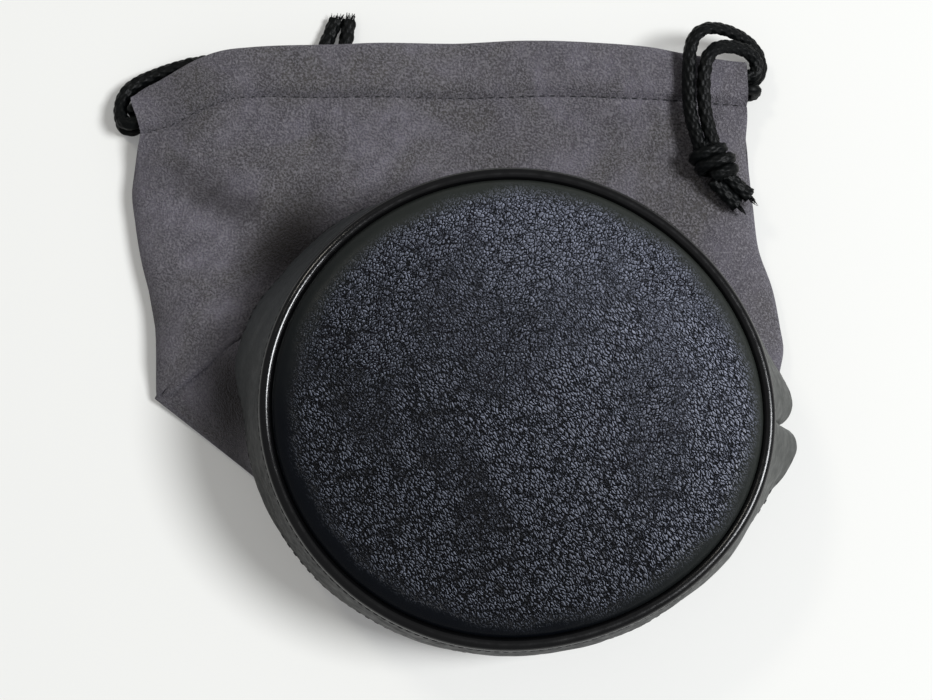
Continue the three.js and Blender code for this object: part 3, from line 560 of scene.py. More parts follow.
def pebble_height(look, at, patch):
    """The height of the grain, from 0 in a crease to 1 on a pebble."""
    falling = look.ranged(look.cells(1650, look.drawn_out(-54, 2.5, at)), 0.0, 0.18)
    rising = look.ranged(look.cells(1600, look.drawn_out(52, 1.7, at)), 0.0, 0.18)
    turn = look.ranged(patch, -0.03, 0.0)
    pebbles = look.node("Mix", {"Factor": turn, "A": falling, "B": rising}, data_type="FLOAT").outputs[0]
    wrinkles = look.ranged(look.cells(300, look.drawn_out(58, 2.6, at)), 0.0, 0.05, 0.42, 1.0)
    waves = look.math("SUBTRACT", look.noise(150, 1.0, look.drawn_out(8, 5.0, at)), 0.45)
    lines = look.ranged(look.math("ABSOLUTE", waves, 0.0), 0.0, 0.016, 0.5, 1.0)
    return look.math("MULTIPLY", pebbles, look.math("MINIMUM", wrinkles, lines))


def pebbled_leather():
    """Leatherette with a dense grain of small pebbles, which fades on the rolled rim.

    The pebbles lie one way on the far half and the other way on the near half.
    Each crease has a painted highlight on its side turned to the far right and painted shade on the other,
    and the grain and rim are painted lighter toward the far right and darker toward the near left.
    """
    look = Look("pebbled leatherette", (0.012, 0.014, 0.02), 0.34, Specular_IOR_Level=0.14)
    mask = look.node("Attribute", attribute_name="grain").outputs["Fac"]
    # Painted light: a share from the near left, painted darker, to the far right, painted lighter.
    slant = look.math("ADD", look.math("MULTIPLY", look.axis("X"), 0.75), look.axis("Y"))
    painted_lit_share = look.ranged(slant, -0.052, 0.038)
    patch = look.math("ADD", look.axis("Y"), look.ranged(look.noise(38), 0.3, 0.7, -0.03, 0.03))
    at = look.warped(look.warped(look.place(), 230, 0.0013), 1500, 0.0006)
    # Painted emboss: the grain's height a little toward the light, for a painted highlight on one side of
    # each crease and painted shade on the other.
    beside = look.vector("ADD", at, (0.00017, 0.00017, 0))
    folds = pebble_height(look, at, patch)
    other = pebble_height(look, beside, patch)
    shade = look.ranged(look.math("SUBTRACT", folds, look.math("MULTIPLY", other, 0.56)), 0.0, 0.9)
    shade = look.math("POWER", shade, look.ranged(painted_lit_share, 0.0, 1.0, 3.0, 1.2))
    normal = look.bump(look.noise(150, 3.0), 0.0009, 0.3)
    look.bump(look.math("MULTIPLY", folds, mask), 0.0003, 1.0, normal)
    # Painted light: crease, pebble-top and rim colours run from darker near left to lighter far right; the
    # pebble-top colour is also the painted highlight.
    low = look.mixed(painted_lit_share, (0.0003, 0.0004, 0.001), (0.002, 0.0025, 0.004))
    tops_and_highlight = look.mixed(painted_lit_share, (0.155, 0.17, 0.21), (0.28, 0.3, 0.38))
    rim = look.mixed(painted_lit_share, (0.002, 0.0028, 0.0045), (0.024, 0.027, 0.024))
    look.set("Base Color", look.mixed(mask, rim, look.mixed(shade, low, tops_and_highlight)))
    shine = look.ranged(look.noise(900), 0.3, 0.7, 0.3, 0.42)
    dull = look.math("MULTIPLY", mask, look.ranged(folds, 0.0, 0.5, 0.3, 0.0))
    look.set("Roughness", look.math("ADD", shine, dull))
    return look.material


def smooth_leather(name, colour, roughness, grain, dulled=None, painted_lit=None, gloss=0.5):
    """Smooth leatherette, with a duller right side, and painted light on the far side and the right if lit
    colours are given.
    """
    look = Look(name, colour, roughness, Specular_IOR_Level=gloss)
    if painted_lit:
        # Painted light: lighter toward the far side and on the right, as lit flares, and darker on the near
        # left.
        left = look.mixed(look.ranged(look.axis("Y"), -0.042, 0.02, soft=True), colour, painted_lit[0])
        right = look.ranged(look.axis("X"), 0.03, 0.075)
        look.set("Base Color", look.mixed(right, left, painted_lit[1]))
    look.bump(look.noise(1100, 3.0), 0.0002, grain)
    ends = []
    for share in (0.85, 1.3):
        end = roughness * share
        if dulled:
            end = look.ranged(look.axis("X"), -0.03, 0.03, end, dulled * share)
        ends.append(end)
    look.set("Roughness", look.ranged(look.noise(420, 3.0), 0.3, 0.7, *ends))
    return look.material


def suede_cloth():
    """Napped cloth: fine speckle, clouds where the nap lies another way, and painted shadow beside the base
    and along a fold.
    """
    look = Look("suede", (0.12, 0.115, 0.13), 0.92, Specular_IOR_Level=0.2, Sheen_Weight=0.22,
                Sheen_Roughness=0.5, Sheen_Tint=(0.62, 0.6, 0.72, 1))
    clouds = look.ranged(look.noise(48, 5.0, distortion=0.8), 0.39, 0.61)
    patches = look.ranged(look.noise(140, 4.0, distortion=0.6), 0.42, 0.64)
    nap = look.ranged(look.noise(1900, 4.0), 0.4, 0.62)
    strokes = look.ranged(look.noise(420, 3.0, look.drawn_out(60, 3.0)), 0.3, 0.7)
    tone = look.mixed(clouds, (0.078, 0.073, 0.069), (0.155, 0.144, 0.172))
    tone = look.mixed(look.math("MULTIPLY", patches, 0.42), tone, (0.05, 0.046, 0.05))
    tone = look.mixed(look.math("MULTIPLY", strokes, 0.5), tone, (0.046, 0.043, 0.05))
    tone = look.mixed(look.math("MULTIPLY", nap, 0.55), tone, (0.26, 0.25, 0.27))
    # Painted shadow: darker suede beside the base's far left and below its left side, where the base casts
    # shade, and painted shade along a fold.
    painted_shadow_by_base = look.near((-0.0425, 0.0255, 0), 0.0125, 0.001, 50, 1.9)
    below = look.near((-0.0545, -0.016, 0), 0.0125, 0.001, -80, 2.0)
    painted_fold_shade = look.near((-0.0605, 0.0375, 0), 0.0085, 0.0, -27, 3.2)
    painted_fold_shade = look.math("MULTIPLY", painted_fold_shade, look.ranged(patches, 0.0, 1.0, 0.5, 0.7))
    painted_shade = look.math("MAXIMUM", painted_fold_shade, look.math("MAXIMUM", painted_shadow_by_base, below))
    look.set("Base Color", look.mixed(look.math("MULTIPLY", painted_shade, 0.92), tone, (0.011, 0.009, 0.006)))
    look.bump(look.math("ADD", nap, look.math("MULTIPLY", strokes, 0.8)), 0.0003)
    return look.material


def plain_cloth(name, colour, scale, roughness=0.85):
    look = Look(name, colour, roughness)
    weave = look.noise(scale)
    darker, lighter = (tuple(c * share for c in colour) for share in (0.6, 1.3))
    look.set("Base Color", look.mixed(weave, darker, lighter))
    look.bump(weave, 0.0002, 0.6)
    return look.material


def cord_yarn():
    """Synthetic yarn with fine fibres."""
    look = Look("cord yarn", (0.002, 0.0025, 0.0025), 0.46, Specular_IOR_Level=0.13)
    fibres = look.noise(2600)
    look.set("Base Color", look.mixed(fibres, (0.0009, 0.0012, 0.0012), (0.0032, 0.004, 0.0042)))
    look.bump(fibres, 0.00005, 0.4)
    return look.material


LEATHER = pebbled_leather()
PIPING = smooth_leather("piping leatherette", (0.0025, 0.0025, 0.0028), 0.15, 0.12, dulled=0.22, gloss=0.4)
# Painted light on the band: a lit grey-green far side and a lit grey right.
BAND_PAINTED_LIGHT = [(0.052, 0.057, 0.059), (0.068, 0.071, 0.067)]
BAND = smooth_leather("band leatherette", (0.004, 0.0045, 0.005), 0.45, 0.5, painted_lit=BAND_PAINTED_LIGHT, gloss=0.2)
SUEDE_CLOTH = suede_cloth()
YARN = cord_yarn()
SEWING = plain_cloth("sewing thread", (0.012, 0.012, 0.015), 3000, 0.6)
FOAM = plain_cloth("foam", (0.045, 0.045, 0.047), 1500, 0.95)
BOARD = plain_cloth("board", (0.23, 0.18, 0.13), 700)
LINING = plain_cloth("lining", (0.026, 0.025, 0.028), 1800)
INNER = [(FOAM, ["base_foam", "piping_core", "band_foam"]), (BOARD, ["base_board"]),
         (LINING, ["base_lining", "seam_binding", "band_lining"]),
         (SEWING, ["side_seam_thread_left", "side_seam_thread_right"])]
for material, nodes in INNER:
    for node in nodes:
        mesh = bpy.data.objects[node].data
        mesh.materials.clear()
        mesh.materials.append(material)


# Base
def base_outline(degrees):
    a = np.radians(degrees)
    share = 1.0
    for waves, cosine, sine in PRESS_SHARES:
        share = share + cosine * np.cos(waves * a) + sine * np.sin(waves * a)
    return BASE_RADIUS * share


def polar(degrees, reach, height):
    a = np.radians(degrees)
    return stacked(reach * np.cos(a), reach * np.sin(a), height)


def on_base(degrees, inset, height):
    return polar(degrees, base_outline(degrees) - inset, height)


def leaned(points):
    c, s = math.cos(BASE_LEAN), math.sin(BASE_LEAN)
    x, y, z = points[..., 0], points[..., 1], points[..., 2]
    return stacked(x * c + z * s, y, -x * s + z * c + BASE_HEIGHT)


def base_panel():
    """The leather panel: a rolled rim, a slow crown and soft unevenness."""
    degrees = np.linspace(0, 360, 360, endpoint=False)
    edge = PIPING_RADIUS + CLEARANCE - PANEL_EDGE_LEAN
    rows = [on_base(degrees, edge, -PANEL_TUCK), on_base(degrees, edge, -PANEL_TUCK / 2)]
    for a in np.linspace(0, np.pi / 2, 15):
        inset = edge + PANEL_ROLL_WIDTH * (1 - np.cos(a))
        rows.append(on_base(degrees, inset, PANEL_EDGE_HEIGHT * np.sin(a)))
    for share in np.linspace(0.985, 0.012, 60):
        row = on_base(degrees, edge + PANEL_ROLL_WIDTH, 0) * share
        row[:, 2] = lerp(PANEL_CROWN_HEIGHT, PANEL_EDGE_HEIGHT, share**2)
        rows.append(row)
    points = np.array(rows)
    x, y = points[..., 0], points[..., 1]
    inset = base_outline(degrees)[None] - np.hypot(x, y)
    plain_left = 0.3 * smooth(0.2 - x / BASE_RADIUS)
    start = PANEL_ROLL_WIDTH * (0.28 + plain_left + uneven(x, y, "grain edge"))
    grain = smooth((inset - start) / GRAIN_FADE_WIDTH) ** 1.3
    swells = uneven(x, y, "panel swells") + uneven(x, y, "panel dimples")
    points[..., 2] += swells * smooth(inset / 9)
    points = leaned(points)
    inner = points - grid_normals(points, True) * PANEL_THICKNESS
    high, wide = points.shape[:2]
    n = high * wide
    last = n - wide
    around = [(j, (j + 1) % wide) for j in range(wide)]
    faces = grid_faces(high, wide, True, 0, True).tolist() + grid_faces(high, wide, True, n).tolist()
    faces += [[k, j, n + j, n + k] for j, k in around]
    faces += [[last + j, last + k, 2 * n] for j, k in around]
    faces += [[n + last + k, n + last + j, 2 * n + 1] for j, k in around]
    middles = [points[-1].mean(axis=0), inner[-1].mean(axis=0)]
    points = np.concatenate([points.reshape(-1, 3), inner.reshape(-1, 3), middles])
    thing = piece("panel_leather", [(points, faces)], LEATHER, "base_panel")
    mask = np.concatenate([grain.ravel(), grain.ravel(), [1, 1]]).astype(np.float32)
    thing.data.attributes.new("grain", "FLOAT", "POINT").data.foreach_set("value", mask)


def piping():
    degrees = np.linspace(0, 360, 540, endpoint=False)
    around = polar(degrees, NOISE_RADIUS, 0)
    radius = PIPING_RADIUS * (1 + uneven(around[:, 0], around[:, 1], "piping"))
    a = np.linspace(0, 2 * np.pi, 22, endpoint=False)
    rows = [leaned(on_base(degrees, -radius * np.cos(t), radius * np.sin(t))) for t in a]
    points = np.array(rows).reshape(-1, 3)
    faces = grid_faces(len(a) + 1, len(degrees), True)[:, [0, 3, 2, 1]]
    faces %= len(points)  # the row past the last is the first
    piece("piping_roll", [(points, faces.tolist())], PIPING, "piping_cover")


# Band
def band_surface(degrees, down):
    """The middle of the band's thickness, at a share of its height below the piping."""
    top = leaned(on_base(degrees, BAND_TOP_INSET, BAND_TOP_HEIGHT))
    reach = base_outline(degrees) + flare(degrees)
    top_reach = np.hypot(top[..., 0], top[..., 1])
    drop = np.sqrt(BAND_HEIGHT**2 - (reach - top_reach) ** 2)
    out = top_reach + (reach - top_reach) * down**BAND_CURVE + BAND_BULGE * 4 * down * (1 - down)
    return polar(degrees, out, top[..., 2] - drop * down)


def band_normal(degrees, down):
    before = np.maximum(degrees - 0.4, BAND_SEAM_ANGLE)
    after = np.minimum(degrees + 0.4, BAND_SEAM_ANGLE + 360)
    across = band_surface(after, down) - band_surface(before, down)
    downward = (band_surface(degrees, np.minimum(down + 0.04, 1))
                - band_surface(degrees, np.maximum(down - 0.04, 0)))
    return unit(np.cross(downward, across))


def behind_band(degrees, down, depth):
    return band_surface(degrees, down) - band_normal(degrees, down) * depth


def below_band(degrees, depth):
    """The band's lower edge carried on past the suede's clearance, and behind it by a depth."""
    edge = band_surface(degrees, 1)
    onward = unit(edge - band_surface(degrees, 0.95))
    return edge + onward * (CLEARANCE + HALF) - band_normal(degrees, 1) * np.reshape(depth, (-1, 1))


def band():
    """The band round the base. Its top edge turns in below the piping."""
    gap = math.degrees(BAND_SEAM_GAP / 2 / BASE_RADIUS)
    degrees = BAND_SEAM_ANGLE + gap + (360 - 2 * gap) * crowded(np.linspace(0, 1, 421), 0.35)
    rows = [leaned(on_base(degrees, inset, height)) for inset, height in BAND_TUCK]
    a = np.radians(degrees)
    x, y = BASE_RADIUS * np.cos(a), BASE_RADIUS * np.sin(a)
    for down in np.linspace(0.03, 1, 30):
        ripple = uneven(x, y + 40 * down, "band") + uneven(x, y, "band edge") * down**3
        surface = band_surface(degrees, down)
        rows.append(surface + band_normal(degrees, down) * (ripple * smooth(down * 3))[:, None])
    piece("band_leather", [shell(np.array(rows)[::-1], BAND_THICKNESS)], BAND, "band",
          sharp=40)


def stitches_round(name, node, down, count, radius, lift):
    """Stitches all round the band, at a share of its height and lifted off its face."""
    def line(at):
        degrees = BAND_SEAM_ANGLE + 1 + 358 * np.clip(at, 0, 1)
        return behind_band(degrees, down, -(BAND_THICKNESS / 2 + lift))
    piece(name, stitches(line, count, BAND_STITCH_LENGTH, radius), SEWING, node)


# Bag
def across_x(share, y):
    return lerp(left_x(y), right_x(y), share)


def share_of(x, y):
    return np.clip((x - left_x(y)) / (right_x(y) - left_x(y)), 0, 1)


def from_side(x, y):
    return np.minimum(x - left_x(y), right_x(y) - x)


def rounding(x, y, width):
    """0 at the side edges and 1 from a width inward, in a round rise."""
    return np.sqrt(np.maximum(0, 1 - (1 - np.clip(from_side(x, y) / width, 0, 1)) ** 2))


def bump(x, y):
    rise = smooth((x / FLAT_WIDTH - BUMP["from"]) / (BUMP["full_from"] - BUMP["from"]))
    fall = smooth((BUMP["to"] - x / FLAT_WIDTH) / (BUMP["to"] - BUMP["full_to"]))
    reach = smooth((y / FLAT_REACH - BUMP["low"]) / (BUMP["high"] - BUMP["low"]))
    return KNOT_ROOM * np.minimum(rise, fall) * reach


def upper_lift(x, y):
    return bump(x, y) * (1 - (MOUTH_GAP - SIDE_MOUTH_GAP) / KNOT_ROOM)


def hem_blend(share, y):
    return smooth((y - (stitch_y(share) - SIDE_ROUND)) / SIDE_ROUND)


def lower_z(x, y):
    side = lerp(LOWER_SIDE_Z, LOWER_Z, hem_blend(share_of(x, y), y))
    return lerp(side, LOWER_Z, rounding(x, y, SIDE_ROUND / 2)) + bump(x, y)


def upper_hem_z(x, y):
    gap = lerp(HEM + SIDE_MOUTH_GAP + HALF, HEM + MOUTH_GAP + HALF, smooth(from_side(x, y) / MOUTH_ROUND))
    return gap + upper_lift(x, y)


CORNER_Y = fold_y(0.0)
CORNER_X = left_x(CORNER_Y)
RIDGE_Y = fold_y(RIDGE_SHARE)
RIDGE_X = across_x(RIDGE_SHARE, RIDGE_Y)


def upper_z(x, y):
    stitched = upper_hem_z(x, y) + HEM_SHARES[0][1] * CHANNEL_PITCH
    puff = PUFF_HEIGHT * np.exp(-(((x - RIDGE_X) / PUFF_WIDTH) ** 2 + ((y - RIDGE_Y) / PUFF_WIDTH) ** 2) / 2)
    sheet = lerp(UPPER_SIDE_Z, UPPER_Z + puff, rounding(x, y, SIDE_ROUND)) + upper_lift(x, y)
    return lerp(sheet, stitched, hem_blend(share_of(x, y), y))


def creased(x, y):
    total = uneven(x, y, "sheet swells") + uneven(x, y, "sheet dimples")
    for (ax, ay), (bx, by), width, height in CREASES:
        dx, dy = bx - ax, by - ay
        t = np.clip(((x - ax) * dx + (y - ay) * dy) / (dx * dx + dy * dy), 0, 1)
        away = np.hypot(x - ax - t * dx, y - ay - t * dy)
        fade = np.exp(-((away / width) ** 2)) * (0.5 + 0.5 * np.sin(np.pi * t))
        total = total + CREASE_STRENGTH * height * fade
    return total


def hem_pucker(x, beyond):
    """How far the stitches draw the cloth in along their row."""
    each = 0.5 + 0.5 * np.cos(2 * np.pi * x / HEM_STITCH_PITCH)
    return -PUCKER_DEPTH * (1 + each) * np.exp(-(((beyond - PUCKER_BEYOND) / PUCKER_WIDTH) ** 2))


def hem_rows(shares, mirror):
    """A hem from the stitch row to the mouth and back, round its fold."""
    rows = []
    for out, up in rounded_line(HEM_SHARES):
        y = lerp(stitch_y(shares), mouth_y(shares), out)
        spread = smooth((y - HEM_CORNER_FROM) / HEM_CORNER_RISE) * np.exp(-shares / 0.03)
        x = across_x(shares, y) - HEM_CORNER * spread
        wave = uneven(x, y * 0.6, "hem") * smooth(out * 5) * (1 if up > 0.5 else 0.3)
        if mirror:
            z = lower_z(x, y) + CHANNEL_PITCH * (1 - up) - wave
        else:
            sewn = hem_pucker(x, y - stitch_y(shares)) if up > 0.3 else 0
            z = upper_hem_z(x, y) + CHANNEL_PITCH * up + wave + sewn
        rows.append(stacked(x, y, z))
    return rows


def crest_z(share):
    """How high the fold rises from the left corner to the band."""
    top = band_surface(band_degrees(LEFT_SEAM_COLUMN), 1)[2] - 2 * SUEDE
    climb = np.clip(share / RIDGE_SHARE, 0, 1)
    return lerp(UPPER_SIDE_Z, top, 1 - (1 - climb) ** RIDGE_CURVE)


def upper_sheet(shares):
    """The upper sheet from its fold to the stitches, in rows crowded at both, and its hem."""
    steps = [np.linspace(0, 0.12, 8)[:-1], np.linspace(0.12, 0.9, 42)[:-1], np.linspace(0.9, 0.995, 12)]
    crest = crest_z(shares)
    rows = []
    for step in np.concatenate(steps):
        y = lerp(fold_y(shares), stitch_y(shares), step)
        x = across_x(shares, y)
        free = upper_z(x, y)
        held = np.where(shares < RIDGE_SHARE, np.clip(1 - step * 9, 0, 1), 0)
        inside = smooth(np.minimum(shares, 1 - shares) * 14) * smooth(step * 6)
        z = lerp(free, np.minimum(free, crest), held) + creased(x, y) * inside
        rows.append(stacked(x, y, z + hem_pucker(x, y - stitch_y(shares))))
    return rows + hem_rows(shares, False)


def sewn_rows(degrees):
    """The rows of a wall that is sewn inside the band."""
    return [behind_band(degrees, down, SEWN_DEPTH) for down in (1 - SUEDE_OVERLAP / BAND_HEIGHT, 1)]


def leaf():
    """The far wall, from inside the band in below the base to its fold."""
    degrees = band_degrees(np.linspace(2, LEFT_SEAM_COLUMN - 0.08, 121))
    edges = below_band(degrees, SEWN_DEPTH)
    rows = sewn_rows(degrees) + [edges]
    limit = across_x(LEAF_LIMIT_SHARE, 0.0)
    x = np.minimum(edges[:, 0], limit + 0.03 * (edges[:, 0] - limit))
    fold = fold_y(share_of(x, 0.0))
    for step in (0.16, 0.5, 0.93, 1.0):
        y = lerp(edges[:, 1], fold, step)
        z = upper_z(x, y) + LEAF_HEIGHT * (1 if step < 1 else 0.4)
        if step < 0.3:
            z = lerp(edges[:, 2], z, 0.75)
        rows.append(stacked(lerp(edges[:, 0], x, step), y, z))
    return np.array(rows)


def landing(degrees):
    """Where the near wall meets the table, with its two corners at the side seams."""
    on_table = lambda at: polar(at, land_reach(at), LOWER_Z)
    corner = np.array([CORNER_X, CORNER_Y, LOWER_SIDE_Z - CLEARANCE / 4])
    end_y = fold_y(1.0)
    right_corner = np.array([right_x(end_y) + SUEDE, end_y - SUEDE, LOWER_SIDE_Z])
    first, last = band_degrees(LEFT_SEAM_COLUMN), band_degrees(BAND_COLUMNS)
    t = ((degrees - first) / (LAND_FROM - first))[:, None]
    u = ((degrees - LAND_TO) / (last - LAND_TO))[:, None]
    points = np.where(t < 1, lerp(corner, on_table(LAND_FROM), t), on_table(degrees))
    return np.where(u > 0, lerp(on_table(LAND_TO), right_corner, u), points)


def near_wall():
    """The near wall, from inside the band down to the table and along it to the mouth."""
    column = np.linspace(0, BAND_COLUMNS - LEFT_SEAM_COLUMN, 241)
    degrees = band_degrees(LEFT_SEAM_COLUMN + column)
    shares = np.clip(crowded(column / column[-1], 0.6), 0, 1)
    lands = landing(degrees)
    rows = sewn_rows(degrees)
    reach = lambda p: np.hypot(p[:, 0], p[:, 1])
    outward = smooth((reach(lands) - reach(rows[1])) / SUEDE_OVERLAP)
    edge = below_band(degrees, SEWN_DEPTH * (1 - outward))
    middle = lerp(edge, lands + np.array([0, 0, BEND_HEIGHT]), 0.55)
    sag = uneven(edge[:, 0], edge[:, 1], "near wall")
    middle[:, :2] *= (1 + sag / 60)[:, None]
    rows += [edge, middle, lands + np.array([0, 0, SUEDE])]
    end_y = stitch_y(shares)
    top_y = stitch_y(0.0)
    top_x = across_x(0.0, top_y)
    for step in (0.02, 0.09, 0.22, 0.45, 0.68, 0.85, 0.95):
        y = lerp(lands[:, 1], end_y, step)
        line = lerp(CORNER_X, top_x, (y - CORNER_Y) / (top_y - CORNER_Y))
        bow = (1 - shares) ** 3 * (left_x(y) - line) * (y > CORNER_Y)
        x = lerp(lands[:, 0], across_x(shares, end_y), step) + bow
        side = lower_z(x, y)
        side[0], side[-1] = lower_z(across_x(shares, y), y)[[0, -1]]
        z = np.where((y < CORNER_Y) & (shares < 0.5), LOWER_Z, side)
        rows.append(stacked(x, y, z))
    fine = catmull(rows, 5)
    fine[..., 2] = np.maximum(fine[..., 2], LOWER_Z)
    return np.concatenate([fine, np.array(hem_rows(shares, True))])


def ridge_roll():
    """The fold from the band down to the left corner, where the two sheets turn over."""
    share = np.linspace(0.004, RIDGE_SHARE * 1.02, 40)
    y = fold_y(share)
    x = across_x(share, y)
    line = stacked(x, y, np.minimum(upper_z(x, y), crest_z(share)) - 0.7) + np.array([0.5, -0.6, 0])
    radius = RIDGE_RADIUS * (1 + uneven(x, y, "ridge")) * smooth(np.linspace(0.25, 4, 40))
    return tube(line, radius, 14)


def bag():
    """The upper sheet with the far wall, and the near wall with the lower sheet."""
    shares = np.clip(crowded(np.linspace(0, 1, 301), 0.5), 0, 1)
    front = shell(np.array(upper_sheet(shares)), SUEDE)
    far_wall = shell(catmull(leaf(), 5), SUEDE)
    upper = piece("suede_upper", [front, far_wall], SUEDE_CLOTH, "suede_front")
    lower = piece("suede_lower", [shell(near_wall(), SUEDE), ridge_roll()], SUEDE_CLOTH,
                  "suede_back")


def hem_stitches(name, node, height):
    """A row of stitches along a hem. height gives how high they are at a place."""
    def line(at):
        share = np.clip(lerp(0.012, 0.988, at), 0, 1)
        y = stitch_y(share) + HEM_STITCH_INSET
        x = across_x(share, y)
        return stacked(x, y, height(x, y))
    count = int(distances(line(np.linspace(0, 1, 200))[:, :2])[-1] / HEM_STITCH_PITCH)
    piece(name, stitches(line, count, HEM_STITCH_LENGTH, HEM_STITCH_RADIUS), SEWING, node)


# Cords
LEFT_FRONT = [
    (-95.8, 76.9, 8.3), (-97.8, 76, 7.9), (-99.6, 76.6, 7.2), (-100.8, 78.8, 6.4), (-100.9, 82, 5.6),
    (-99.5, 85.4, 5), (-96.4, 87.9, 4.8), (-92.2, 89.8, 4.7), (-87.4, 91.5, 4.7), (-82.4, 92.7, 4.7),
    (-77.4, 93, 4.6), (-72, 91.8, 4.3), (-66.6, 90, 3.9), (-62.4, 88.3, 3.8), (-59.2, 87.4, 3.8),
]
LEFT_BACK = [
    (-95.8, 76.9, 2.4), (-98, 76, 2.1), (-100.4, 76.2, 1.8), (-101.6, 78.6, 1.5), (-101.7, 82, 1.5),
    (-100.3, 85.6, 1.5), (-97.2, 88.4, 1.5), (-93, 90.6, 1.5), (-88, 92.4, 1.5), (-83, 93.8, 1.5),
    (-77.6, 94.4, 1.5), (-71.8, 93.9, 1.6), (-66.8, 92.8, 2.2), (-62.4, 91.5, 3.1), (-58.9, 90.5, 3.9),
]
LEFT_KNOT = (-53.2, 89, 4.4)
LEFT_ENDS = [
    [(-50.6, 93.6, 3.8), (-49.4, 96.6, 3.2), (-47.8, 100.6, 2.4), (-46.1, 105.2, 1.9)],
    [(-48, 91.7, 4), (-45.2, 94.6, 3.3), (-43.4, 99.4, 2.3), (-42.7, 105, 1.8)],
]
RIGHT_FRONT = [
    (60.75, 88.5, 8.3), (62.3, 88.9, 8.3), (62.8, 90.6, 8.6), (62.2, 92.6, 9.3), (60.4, 94, 10.6),
    (57.4, 94.7, 12.4), (54, 94.4, 14.4), (51.2, 93.2, 16.2), (49.2, 90.8, 17.2), (48.2, 87, 17.2),
    (48, 82.6, 16.6), (48.3, 77.6, 16), (49.1, 73.4, 15.7), (50, 69.9, 15.6),
]
RIGHT_BACK = [
    (60.6, 88.5, 2.4), (62.6, 88.7, 2.4), (64.3, 90.2, 3), (64.6, 92.6, 4.2), (63.4, 95.2, 6.2),
    (60.8, 97.4, 8.4), (57.2, 98.8, 10.9), (53, 99.3, 13.6), (49, 98.6, 16), (46, 96.2, 17.4),
    (44.6, 92.2, 17.8), (44.2, 87, 17.4), (44.2, 81.6, 16.6), (44.8, 75.6, 15.9), (46.5, 69.4, 15.6),
]
RIGHT_KNOT = (50.2, 64.2, 15.8)
RIGHT_ENDS = [
    [(54.4, 60, 15.2), (56.2, 58.3, 14.6), (57.9, 57, 13.9), (59.4, 56, 13.2)],
    [(51.3, 58.2, 14.8), (53.1, 56.5, 14.3), (54.8, 54.9, 13.6), (56.4, 53.6, 13)],
]


def reaching(route, before, after):
    """The route made longer at its ends, into the pieces it meets."""
    route = np.asarray(route, float)
    start = route[0] + unit(route[0] - route[1]) * before
    end = route[-1] + unit(route[-1] - route[-2]) * after
    return np.concatenate([[start], route, [end]])


def cord_piece(name, parts, body, node):
    return piece(name, parts, YARN, node, body=body, sharp=80)


def knot(name, at, heading, body, node):
    """An overhand knot: the cord wound round itself, tight."""
    heading = math.radians(heading)
    ahead = np.array([math.cos(heading), math.sin(heading), 0])
    side = np.array([-ahead[1], ahead[0], 0])
    up = np.array(UP)
    line = lambda a, b, c: np.array(at) + ahead * a[:, None] + side * b[:, None] + up * c[:, None]
    t = np.linspace(-KNOT_TURNS * np.pi, KNOT_TURNS * np.pi, 260)
    swell = np.sqrt(np.clip(1 - (t / (3.6 * np.pi)) ** 2, 0, 1))
    wide = (KNOT_WIDTH / 2 - CORD_RADIUS + 0.4) * swell
    high = (KNOT_HEIGHT / 2 - CORD_RADIUS) * swell
    pitch = (KNOT_LENGTH - CORD) / (2 * KNOT_TURNS)
    coil = line(pitch * t / np.pi + 1.3 * np.cos(t) * swell, wide * np.cos(t), high * np.sin(t))
    parts = [braid(coil, distances(coil), CORD_RADIUS * 1.1)]
    t = np.linspace(-KNOT_LENGTH / 2 + 0.2, KNOT_LENGTH / 2 - 0.2, 50)
    for offset in (-1.25, 1.25):
        strand = line(t, offset * np.cos(t / 3.5), 0.5 * np.sin(t / 2 + offset))
        parts.append(braid(strand, t - t[0], CORD_RADIUS))
    return cord_piece(name, parts, body, node)


def tail(name, route, body, node, seed):
    """A cord's end past the knot, with its fibres loose at the tip."""
    line, gone = even_path(reaching(route, 2.0, 0.1), 0.25)
    parts = [braid(line, gone, CORD_RADIUS * (1.04 + 0.12 * gone / gone[-1]), flatness=CORD_FLATNESS)]
    random = np.random.default_rng(seed)
    tip, ahead = line[-1], unit(line[-1] - line[-6])
    for _ in range(TAIL_FIBRES):
        push = random.normal(size=3)
        push -= ahead * push @ ahead
        start = tip + unit(push) * CORD_RADIUS * 0.8 * random.random() - ahead
        reach = ahead * random.uniform(1.6, 3.4) + unit(push) * random.uniform(0.1, 1.1)
        end = start + reach
        end[2] = max(end[2], FIBRE_LOWEST)
        bow = start + reach * 0.5 + random.normal(size=3) * 0.25
        bow[2] = max(bow[2], FIBRE_LOWEST)
        parts.append(tube(catmull([start, bow, end], 4), np.linspace(0.17, 0.05, 9), 5))
    return cord_piece(name, parts, body, node)


def cord_run(side, name, node):
    """The cord inside the hems: in through the upper hem, round, and back through the lower hem."""
    shares = np.clip(crowded(np.linspace(0, 1, 60), 0.72), 0, 1)
    y = lerp(stitch_y(shares), mouth_y(shares), LANES[side])
    x = across_x(shares, y)
    upper = stacked(x, y, upper_hem_z(x, y) + CHANNEL_PITCH / 2)
    lower = stacked(x, y, lower_z(x, y) + CHANNEL_PITCH / 2)
    if side == "right":
        upper, lower = upper[::-1], lower[::-1]
    out = np.array([CORD if side == "left" else -CORD, 0, 0])
    high, low = upper[-1], lower[-1]
    turn = [high + out * 0.62, lerp(high, low, 0.2) + out * 0.96, lerp(high, low, 0.8) + out * 0.96,
            low + out * 0.62]
    line, gone = even_path(np.concatenate([upper, turn, lower[::-1]]), 0.45)
    thing = cord_piece(name, [braid(line, gone, CORD_RADIUS * 0.97, sides=14)], None, node)
    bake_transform(thing)


